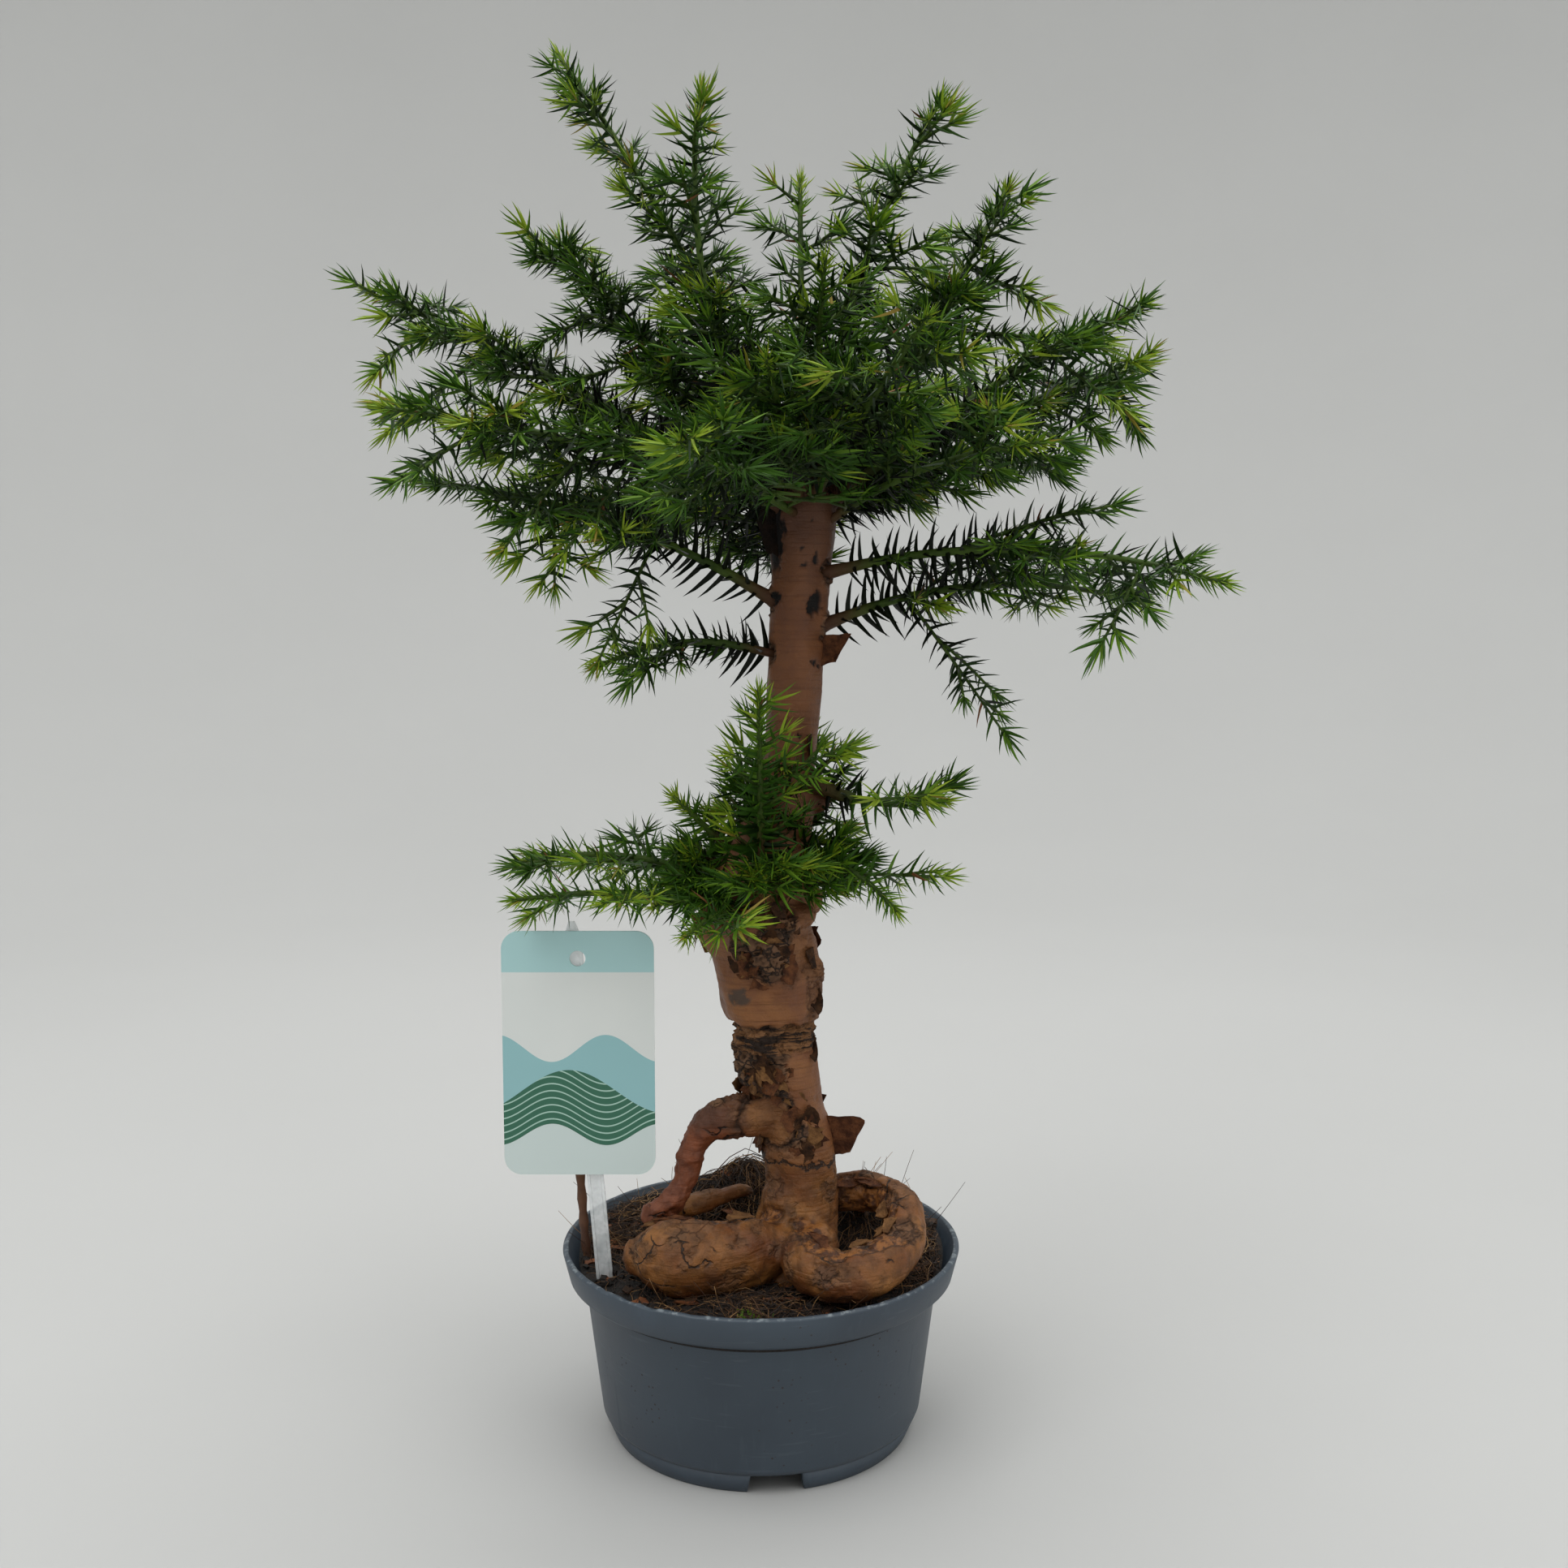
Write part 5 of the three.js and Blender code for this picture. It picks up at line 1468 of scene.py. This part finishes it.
def add_root_strips(sheets, random):
    """Long narrow scales on the inner upper side of the thick roots."""
    seed = len(FLAKES) + SCALES["tries"]
    clear = STRIPS["clear_end"]
    for name in STRIPS["roots"]:
        table = smooth_line(ROOTS[name], STRIPS["steps"])
        ways, _, _ = frames_along(table[:, :3])
        for i in random.integers(clear, len(table) - clear, STRIPS["count"]).tolist():
            along = Vector(ways[i])
            inward = Vector((*ROOTS_MIDDLE, 0)) - Vector((*table[i, :2], 0))
            turn = math.radians(random.uniform(*STRIPS["turns"]))
            normal = UP * math.cos(turn) + inward.normalized() * math.sin(turn)
            normal = (normal - along * normal.dot(along)).normalized()
            way = normal.cross(along)
            way *= 1 if way.dot(inward) > 0 else -1
            foot = Vector(table[i, :3]) + normal * table[i, 3]
            half = random.uniform(*STRIPS["halves"])
            shade = int(random.integers(*STRIPS["shades"]))
            seed += 1
            add_scale(sheets, foot, normal, way, STRIPS["width"], half, shade, seed)


def flake_mesh():
    sheets = Cluster()
    for seed, (x, y, z, *shape) in enumerate(FLAKES):
        add_flake(sheets, (x, y, z), *shape, seed)
    random = np.random.default_rng(SCALES["seed"])
    add_trunk_scales(sheets, random)
    add_root_strips(sheets, random)
    return sheets.mesh("bark_flakes", False)


# Stems

def seeded_numbers(seed):
    """Numbers from 0 to 1, the same on every run."""
    state = (seed + 1) * SEEDS["spread"] % SEEDS["size"]
    while True:
        state = (state * SEEDS["factor"] + SEEDS["step"]) % SEEDS["size"]
        yield state / SEEDS["size"]


def leaning(along, lean, roll, flat=1.0, spread=None):
    """A direction that leans away from a stem, rolled round it from its upper side."""
    side = spread or steady_side(along)
    upper = side.cross(along)
    lean, roll = math.radians(lean), math.radians(roll)
    out = (upper * math.cos(roll) * flat + side * math.sin(roll)).normalized()
    return along * math.cos(lean) + out * math.sin(lean)


class Stem:
    """A centre line with the place and direction at any distance along it."""

    def __init__(self, points):
        self.line = smooth_line([tuple(point) for point in points], STEM["line_steps"])
        gaps = np.linalg.norm(np.diff(self.line, axis=0), axis=1)
        self.reach = np.concatenate([[0], np.cumsum(gaps)])
        self.length = self.reach[-1]

    def at(self, distance):
        i = int(np.clip(np.searchsorted(self.reach, distance) - 1, 0, len(self.line) - 2))
        along = Vector(self.line[i + 1] - self.line[i]).normalized()
        return Vector(self.line[i]) + along * (distance - self.reach[i]), along

    def between(self, start, end):
        """Points from one distance to another, a few millimetres apart."""
        count = max(3, round((end - start) / STEM["point_gap"]))
        return np.array([self.at(distance)[0] for distance in np.linspace(start, end, count)])


def shoot_stem(height, offset, bearing, rise, curl, length):
    """A shoot's line, which starts beside the trunk's middle and curls up or down on its way."""
    steps = max(3, int(length / STEM["step"] + 0.5))
    heights = [row[0] for row in TRUNK]
    centre = [np.interp(height, heights, [row[k] for row in TRUNK]) for k in (1, 2)]
    points = [Vector((*centre, height)) + heading(bearing, 0) * offset]
    for i in range(steps):
        slope = rise + curl * (i + 0.5) / steps
        points.append(points[-1] + heading(bearing, slope) * (length / steps))
    return Stem(points)


def bowed_twig(point, way, length, bow):
    """A twig's line, bent a little on its way."""
    shares = np.linspace(0, 1, BOW["points"])[:, None]
    return Stem(np.array(point) + np.array(way) * length * shares + np.array(bow) * length * shares**2)


def twig_start(stem, distance, side, random):
    """The foot and direction of a twig on one side of a stem."""
    lean = TWIGS["lean"] + TWIGS["lean_spread"] * next(random)
    roll = side * (TWIGS["roll"] + TWIGS["roll_spread"] * next(random))
    point, along = stem.at(distance)
    return point, leaning(along, lean, roll)


def side_twigs(stem, start, length, sprays, random):
    """The side twigs of a shoot: left and right in turn, shorter towards its tip, then its long sprays."""
    twigs = []
    first = max(start + TWIGS["clear_start"], length * TWIGS["first"])
    for i in range(int((length - first) / TWIGS["spacing"])):
        distance = first + TWIGS["spacing"] * (i + TWIGS["spacing_spread"] * next(random))
        point, way = twig_start(stem, distance, 1 if i % 2 else -1, random)
        shortening = 1 - TWIGS["tip_shortening"] * distance / length
        chance = TWIGS["shortest"] + TWIGS["length_spread"] * next(random)
        twist = math.radians(TWIGS["twist"] * (2 * next(random) - 1))
        spread = Matrix.Rotation(twist, 3, way) @ steady_side(way)
        twigs.append((point, way, TWIGS["length"] * shortening * chance, spread))
    for share, bearing, rise, reach in sprays:
        way = heading(bearing, rise)
        twigs.append((stem.at(share * length)[0], way, reach, steady_side(way)))
    return twigs


def finer_twigs(stem, start, length, spacing, longest, random):
    """Shorter twigs in the gaps between the side twigs, on the other side each time."""
    twigs = []
    first = start + TWIGS["clear_start"]
    for i in range(int((length - first) / spacing)):
        distance = first + spacing * (i + FINER["spacing_spread"] * next(random))
        point, way = twig_start(stem, distance, -1 if i % 2 else 1, random)
        shortening = 1 - TWIGS["tip_shortening"] * distance / length
        chance = TWIGS["shortest"] * (FINER["shortest"] + next(random))
        reach = min(TWIGS["length"] * shortening * chance, length - distance + FINER["past_tip"], longest)
        twigs.append((point, way, reach, steady_side(way)))
    return twigs


def forks(twig, spread, random):
    """Small twigs on both sides of a long one."""
    side = 1 if next(random) < 0.5 else -1
    found = []
    for share in FORKS["shares"]:
        point, along = twig.at(share * twig.length)
        lean = math.radians(FORKS["lean"] + FORKS["lean_spread"] * (next(random) - 0.5))
        way = along * math.cos(lean) + spread * side * math.sin(lean)
        reach = twig.length * (1 - share) * FORKS["length"] + FORKS["longer"] * next(random)
        found.append((point, way.normalized(), reach, spread))
        side = -side
    return found


# Needles

NEEDLE_CORNERS = 3 * len(NEEDLE_SECTIONS) + 1
NEEDLE_FACES = wall_faces(len(NEEDLE_SECTIONS), 3) + [[6, 7, 9], [7, 8, 9], [8, 6, 9], [2, 1, 0]]


def needle_row(foot, way, along, length, half_width):
    """One needle: foot, direction, the direction of its blade's width, length and half width."""
    across = (along - way * along.dot(way)).normalized()
    return (*foot, *way, *across, length, half_width)


def needle_shapes(rows):
    """Corners and faces of needles: slim blades with a keel and a sharp, bent tip."""
    rows = np.array(rows)
    foot, way, across = rows[:, 0:3], rows[:, 3:6], rows[:, 6:9]
    length, half_width = rows[:, 9:10], rows[:, 10:11]
    keel = np.cross(way, across)
    corners = np.empty((len(rows), NEEDLE_CORNERS, 3))
    for ring, (share, width) in enumerate(NEEDLE_SECTIONS):
        middle = foot + way * length * share + across * length * NEEDLE["bend"] * share**2
        flat = across * half_width * width
        corners[:, 3 * ring] = middle + flat
        corners[:, 3 * ring + 1] = middle + keel * half_width * width * NEEDLE["thickness"]
        corners[:, 3 * ring + 2] = middle - flat
    corners[:, -1] = foot + way * length + across * length * NEEDLE["bend"]
    starts = (np.arange(len(rows)) * NEEDLE_CORNERS).tolist()
    faces = [[corner + start for corner in face] for start in starts for face in NEEDLE_FACES]
    return corners.reshape(-1, 3), faces


def stands_before(window, point):
    """Whether a point stands before a part of the plane through the trunk, as the camera sees it."""
    eye = Vector(CAMERA["place"])
    seen = eye + (point - eye) * (eye.y / (eye.y - point.y))
    across = window["left"] < seen.x < window["right"]
    return point.y < 0 and across and window["low"] < seen.z < window["high"]


class Foliage:
    """The needles of one region, by shade."""

    def __init__(self):
        self.rows = [[] for _ in NEEDLE_SHADES]

    def needle(self, shade, foot, way, along, length):
        half_width = max(NEEDLE["least_width"], NEEDLE["width"] * length - NEEDLE["narrowing"])
        tip = foot + way * length
        if stands_before(DARK_MIDDLE, tip):
            shade = min(shade, GREEN)
        if not stands_before(BARE_TRUNK, tip) and not stands_before(BARE_TRUNK, (foot + tip) / 2):
            self.rows[shade].append(needle_row(foot, way, along, length, half_width))

    def mesh(self, name):
        cluster = Cluster()
        for shade, rows in enumerate(self.rows):
            if rows:
                cluster.add(*needle_shapes(rows), shade)
        return cluster.mesh(name, False)


def shade_at(age, chance):
    """The shade of a needle of an age, from 0 at a young tip to 1."""
    if chance < DEAD_SHARE:
        return DEAD
    age += AGE_SPREAD * (chance - 0.5)
    for shade, youngest in enumerate(SHADE_AGES):
        if age > youngest:
            return shade
    return TIP


def dress(foliage, stem, start, end, style, ages, random, spread=None):
    """Needles round a stem from one distance to another, each turned on from the last."""
    count = int((end - start) / style["spacing"])
    roll = 360 * next(random)
    for i in range(count):
        share = (i + 0.5) / count
        point, along = stem.at(start + (end - start) * share)
        roll += NEEDLE["turn"]
        lean = style["lean"] + (style["tip_lean"] - style["lean"]) * share**2
        lean += NEEDLE["lean_spread"] * (next(random) - 0.5)
        way = leaning(along, lean, roll, style["flat"], spread)
        length = style["length"] + (style["tip_length"] - style["length"]) * share
        length *= NEEDLE["shortest"] + NEEDLE["length_spread"] * next(random)
        age = ages[0] + (ages[1] - ages[0]) * share
        foliage.needle(shade_at(age, next(random)), point, way, along, length)


def tuft_shade(young, chance):
    if young:
        return BRONZE if chance < TUFT_SHADES["bronze"] else TIP if chance < TUFT_SHADES["tip"] else FRESH
    return GREEN if chance < TUFT_SHADES["green"] else FRESH


def tuft(foliage, stem, size, young, random):
    """The brush of needles at a tip, in light shades where they are young."""
    point, along = stem.at(stem.length)
    for i in range(TUFT["count"]):
        lean = TUFT["inner"] + (TUFT["outer"] - TUFT["inner"]) * i / TUFT["count"]
        way = leaning(along, lean + TUFT["lean_spread"] * next(random), NEEDLE["turn"] * i)
        shade = tuft_shade(young, next(random))
        foot = point - along * (TUFT["foot"] + TUFT["foot_step"] * i)
        length = TUFT["length"] * size * (TUFT["shortest"] + TUFT["length_spread"] * next(random))
        foliage.needle(shade, foot, way, along, length)


# Shoots

def grow_twig(foliage, wood, twig_row, age, random, young, forked=True):
    """A twig with its needles, its tuft and, where it is long, its forks."""
    point, way, length, spread = twig_row
    sideways = (next(random) - 0.5, next(random) - 0.5)
    bow = Vector((*sideways, BOW["rise"] * next(random) - BOW["sag"])) * BOW["most"]
    twig = bowed_twig(point, way, length, bow)
    line = twig.between(0, twig.length)
    wood.add_tube(line, np.linspace(STEM["twig"], STEM["twig_tip"], len(line)), STEM["twig_sides"])
    ages = (age, AGES["young_twig_tip"] if young else AGES["twig_tip"])
    dress(foliage, twig, BARE["twig"], twig.length - BARE["tip"], ON_TWIG, ages, random, spread)
    tuft(foliage, twig, TUFT["twig_size"] + TUFT["size_spread"] * next(random), young, random)
    if forked and length > FORKS["from"]:
        for fork in forks(twig, spread, random):
            grow_twig(foliage, wood, fork, age * FORKS["age"], random, young, False)


def add_bough(name, stem, bare, limbs):
    """The bare foot of a shoot, which thickens towards the trunk."""
    line = stem.between(-STEM["sunk"], bare + STEM["overlap"])
    thick, fading = THICK_FEET.get(name, BOUGH_FOOT)
    foot = thick * np.exp(-np.linspace(0, bare + STEM["overlap"] + STEM["sunk"], len(line)) / fading)
    limbs.add_tube(line, np.linspace(STEM["limb"], STEM["radius"], len(line)) + foot, STEM["limb_sides"])


def grow_shoot(name, seed, foliage, wood, limbs):
    """A shoot with all that it carries, by the rule that its solid follows and on to finer twigs."""
    *course, length, bare, sprays = SHOOTS[name]
    random = seeded_numbers(seed)
    stem = shoot_stem(*course, length)
    start = max(bare - TWIGS["root"], 0)
    low = name.startswith("low")
    side = side_twigs(stem, start, length, sprays + GAP_SPRAYS.get(name, []), random)
    finer = finer_twigs(stem, start, length, *(BETWEEN.get(name) or BETWEEN[name.split("_")[0]]), random)
    if bare:
        add_bough(name, stem, bare, limbs)
        dress(foliage, stem, BARE["trunk"], bare, ON_BOUGH, AGES["bough"], random)
    line = stem.between(start - STEM["sunk"], stem.length)
    wood.add_tube(line, np.linspace(STEM["radius"], STEM["tip"], len(line)), STEM["sides"])
    style = ON_SHORT_STEM if name in SHORT_NEEDLED else ON_STEM
    oldest = AGES["low_foot" if low else "foot"]
    ages = (oldest, AGES["stem_tip"])
    for _ in range(BUSHY.get(name, 1)):
        dress(foliage, stem, start + BARE["stem"], stem.length - BARE["tip"], style, ages, random)
    tuft(foliage, stem, TUFT["shoot_size"], True, random)
    dress(foliage, stem, stem.length - SHOOT_TIP, stem.length, ON_SHOOT_TIP, AGES["shoot_tip"], random)
    for kind, rows in (("side", side), ("finer", finer)):
        for row in rows:
            share = (row[0] - Vector(stem.line[0])).length / length
            age = oldest * (1 - AGES["younger_outwards"] * share)
            young = next(random) < YOUNG["low" if low else kind]
            grow_twig(foliage, wood, row, age, random, young)


def grow_whorl(whorl, seed, foliage, wood):
    """Short shoots all round the trunk, each turned on from the last."""
    height, spread, offset, count, length, rise, age = whorl
    random = seeded_numbers(seed)
    for i in range(count):
        level = height + spread * (2 * next(random) - 1)
        bearing = NEEDLE["turn"] * i
        x, y, _ = trunk_at(np.array([level]))[:, 0]
        point = Vector((x, y, level)) + heading(bearing, 0) * offset
        way = heading(bearing, rise + WHORL["rise_spread"] * (2 * next(random) - 1))
        reach = length * (WHORL["shortest"] + WHORL["length_spread"] * next(random))
        young = next(random) < WHORL["young"]
        grow_twig(foliage, wood, (point, way, reach, steady_side(way)), age, random, young)


def grow_plant():
    """All shoots, joined into needles by region, green twigs and bare boughs."""
    shades = [needle_green(*shade) for shade in NEEDLE_SHADES]
    young = young_bark()
    wood, limbs = Cluster(), Cluster()
    for region in REGIONS:
        names = [name for name in SHOOTS if name.startswith(region)]
        foliage = Foliage()
        for name in names:
            grow_shoot(name, list(SHOOTS).index(name), foliage, wood, limbs)
        nodes = [f"foliage_{name}" for name in names]
        new_piece(f"needles_{region}", foliage.mesh(f"needles_{region}"), shades, nodes)
    filling = Foliage()
    for seed, whorl in enumerate(WHORLS):
        grow_whorl(whorl, len(SHOOTS) + seed, filling, wood)
    new_piece("needles_filling", filling.mesh("needles_filling"), shades)
    twig_mesh = brown_at_trunk(wood.mesh("green_twigs", True), BROWN["twigs"])
    new_piece("green_twigs", twig_mesh, [young])
    boughs = [f"bough_{name}" for name, (*_, bare, _) in SHOOTS.items() if bare]
    bough_mesh = brown_at_trunk(limbs.mesh("boughs", True), BROWN["boughs"])
    new_piece("boughs", bough_mesh, [young], boughs)


def brown_at_trunk(mesh, reach):
    """Marks how brown young bark is: most where it leaves the trunk, none past a distance."""
    x, y, z = places_of(mesh).T / MM
    cx, cy, radius = trunk_beside(z)
    away = np.hypot(x - cx, y - cy) - radius + np.maximum(z - TRUNK_HIGH, 0)
    mark(mesh, "brown", fades(away, BROWN["start"], reach))
    return mesh


# Label and dry stick

def card_mesh():
    """A thin card with round corners and a hole near its top."""
    width, height, thickness = LABEL["width"], LABEL["height"], LABEL["thickness"]
    bm = bmesh.new()
    sheet = bmesh.ops.create_grid(bm, x_segments=1, y_segments=1, size=1)["verts"]
    bmesh.ops.scale(bm, vec=(width / 2 * MM, height / 2 * MM, 1), verts=sheet)
    bmesh.ops.bevel(
        bm, geom=sheet, offset=LABEL["corner"] * MM, affect="VERTICES", segments=LABEL["corner_steps"],
        profile=0.5, material=-1,
    )
    bmesh.ops.delete(bm, geom=bm.faces[:], context="FACES_ONLY")
    drop = Matrix.Translation((0, (height / 2 - LABEL["hole_drop"]) * MM, 0))
    bmesh.ops.create_circle(bm, radius=LABEL["hole"] * MM, segments=LABEL["hole_sides"], matrix=drop)
    bmesh.ops.triangle_fill(bm, use_beauty=True, use_dissolve=False, edges=bm.edges)
    sheet = bmesh.ops.extrude_face_region(bm, geom=bm.faces[:])["geom"]
    raised = [part for part in sheet if isinstance(part, bmesh.types.BMVert)]
    bmesh.ops.translate(bm, vec=(0, 0, thickness * MM), verts=raised)
    bmesh.ops.recalc_face_normals(bm, faces=bm.faces)
    x, y, z = LABEL["centre"]
    place = Matrix.Translation(Vector((x, y + thickness / 2, z)) * MM)
    bmesh.ops.transform(bm, matrix=place @ Matrix.Rotation(math.pi / 2, 4, "X"), verts=bm.verts)
    return mesh_of(bm, "label_print", False)


def clear_stem_mesh():
    """A clear strip with a raised rib along each edge and a pointed top."""
    half, thick = CLEAR_STEM["width"] / 2, CLEAR_STEM["thickness"]
    rib, web, groove = CLEAR_STEM["rib"], CLEAR_STEM["web"], CLEAR_STEM["groove"]
    back = LABEL["centre"][1] + LABEL["thickness"] / 2 + CLEAR_STEM["clearance"]
    foot = SOIL["level"] + SOIL["front"] - CLEAR_STEM["sunk"]
    section = [
        (-half, 0), (-half + rib, 0), (-half + web, groove), (half - web, groove), (half - rib, 0), (half, 0),
        (half, thick), (half - rib, thick), (half - web, thick - groove), (-half + web, thick - groove),
        (-half + rib, thick), (-half, thick),
    ]
    bm = bmesh.new()
    corners = [bm.verts.new(((CLEAR_STEM["foot"] + x) * MM, (back + y) * MM, foot * MM)) for x, y in section]
    end = bm.faces.new(corners)
    tall = CLEAR_STEM["height"] - foot
    lean = CLEAR_STEM["top"] - CLEAR_STEM["foot"]
    for share, pinch in STEM_STRETCHES:
        grown = bmesh.ops.extrude_face_region(bm, geom=[end])["geom"]
        end = next(part for part in grown if isinstance(part, bmesh.types.BMFace))
        bmesh.ops.translate(bm, vec=(lean * share * MM, 0, tall * share * MM), verts=end.verts)
        middle = Matrix.Translation(-end.calc_center_median())
        bmesh.ops.scale(bm, vec=(pinch, 1, 1), space=middle, verts=end.verts)
    bmesh.ops.recalc_face_normals(bm, faces=bm.faces)
    return mesh_of(bm, "clear_stem", False)


def dead_stick():
    """A dry stem that stands in the soil behind the label."""
    stick = Cluster()
    line = smooth_line(STICK, STICK_SURFACE["steps"])
    waves = np.sin(np.arange(len(line)) * STICK_SURFACE["wave_step"])
    stick.add_tube(line, STICK_SURFACE["radius"] + STICK_SURFACE["wave"] * waves, STICK_SURFACE["sides"])
    return stick.mesh("dead_stick", True)


# Stage

def placed(name, data):
    """An object in the scene that isn't part of the plant."""
    thing = bpy.data.objects.new(name, data)
    bpy.context.scene.collection.objects.link(thing)
    return thing


def add_backdrop():
    """A round sweep of pale paper."""
    start, radius = SWEEP["start"], SWEEP["bend"]
    turns = np.linspace(0, math.pi / 2, SWEEP["bend_steps"])
    bend = [(start + radius * math.sin(turn), radius - radius * math.cos(turn)) for turn in turns]
    bm = bmesh.new()
    spun(bm, [*((flat, 0) for flat in SWEEP["flat"]), *bend, (start + radius, SWEEP["top"])], SWEEP["sides"])
    bmesh.ops.recalc_face_normals(bm, faces=bm.faces)
    mesh = mesh_of(bm, "backdrop")
    mesh.materials.append(backdrop_paper())
    placed("backdrop", mesh)


def add_lights():
    scene = bpy.context.scene
    scene.world = scene.world or bpy.data.worlds.new("soft_sky")
    scene.world.use_nodes = True
    for name, value in SKY.items():
        scene.world.node_tree.nodes["Background"].inputs[name].default_value = value
    for name, (place, target, size, power) in LIGHTS.items():
        light = bpy.data.lights.new(name, "AREA")
        light.size = size
        light.energy = power
        lamp = placed(name, light)
        lamp.location = place
        lamp.rotation_euler = (UP * target - Vector(place)).to_track_quat("-Z", "Y").to_euler()


def add_camera():
    lens = bpy.data.cameras.new("camera")
    lens.lens = CAMERA["lens"]
    lens.sensor_width = CAMERA["sensor"]
    camera = placed("camera", lens)
    camera.location = Vector(CAMERA["place"]) * MM
    camera.rotation_euler = (math.radians(90 - CAMERA["pitch"]), 0, 0)
    bpy.context.scene.camera = camera
    bpy.context.scene.view_settings.view_transform = "Standard"


# The plant on its stage

add_backdrop()
add_lights()
add_camera()
new_piece("pot_shell", pot_mesh(), [pot_plastic()], ["pot"])
new_piece("soil_ground", soil_mesh(), [peat()], ["soil"])
new_piece("ground_fibres", ground_fibres(), [fibre(*shade) for shade in FIBRE_SHADES])
new_piece("ground_chips", ground_chips(), [peat(), *(fibre(*shade) for shade in CHIP_SHADES)])
new_piece("moss_sprig", moss_sprig(), [needle_green("moss", "5a7a25", "7d9a38")])
new_piece("bark_skin", bark_mesh(), [bark()], ["trunk", *ROOTS])
new_piece("bark_flakes", flake_mesh(), [torn_bark(*shade) for shade in TORN_SHADES])
grow_plant()
new_piece("label_print", card_mesh(), [printed_card()], ["label_card"])
new_piece("clear_stem", clear_stem_mesh(), [clear_plastic()], ["label_stem"])
new_piece("dead_stick", dead_stick(), [fibre("dry_stem", "4d3020", "6f4a33")])
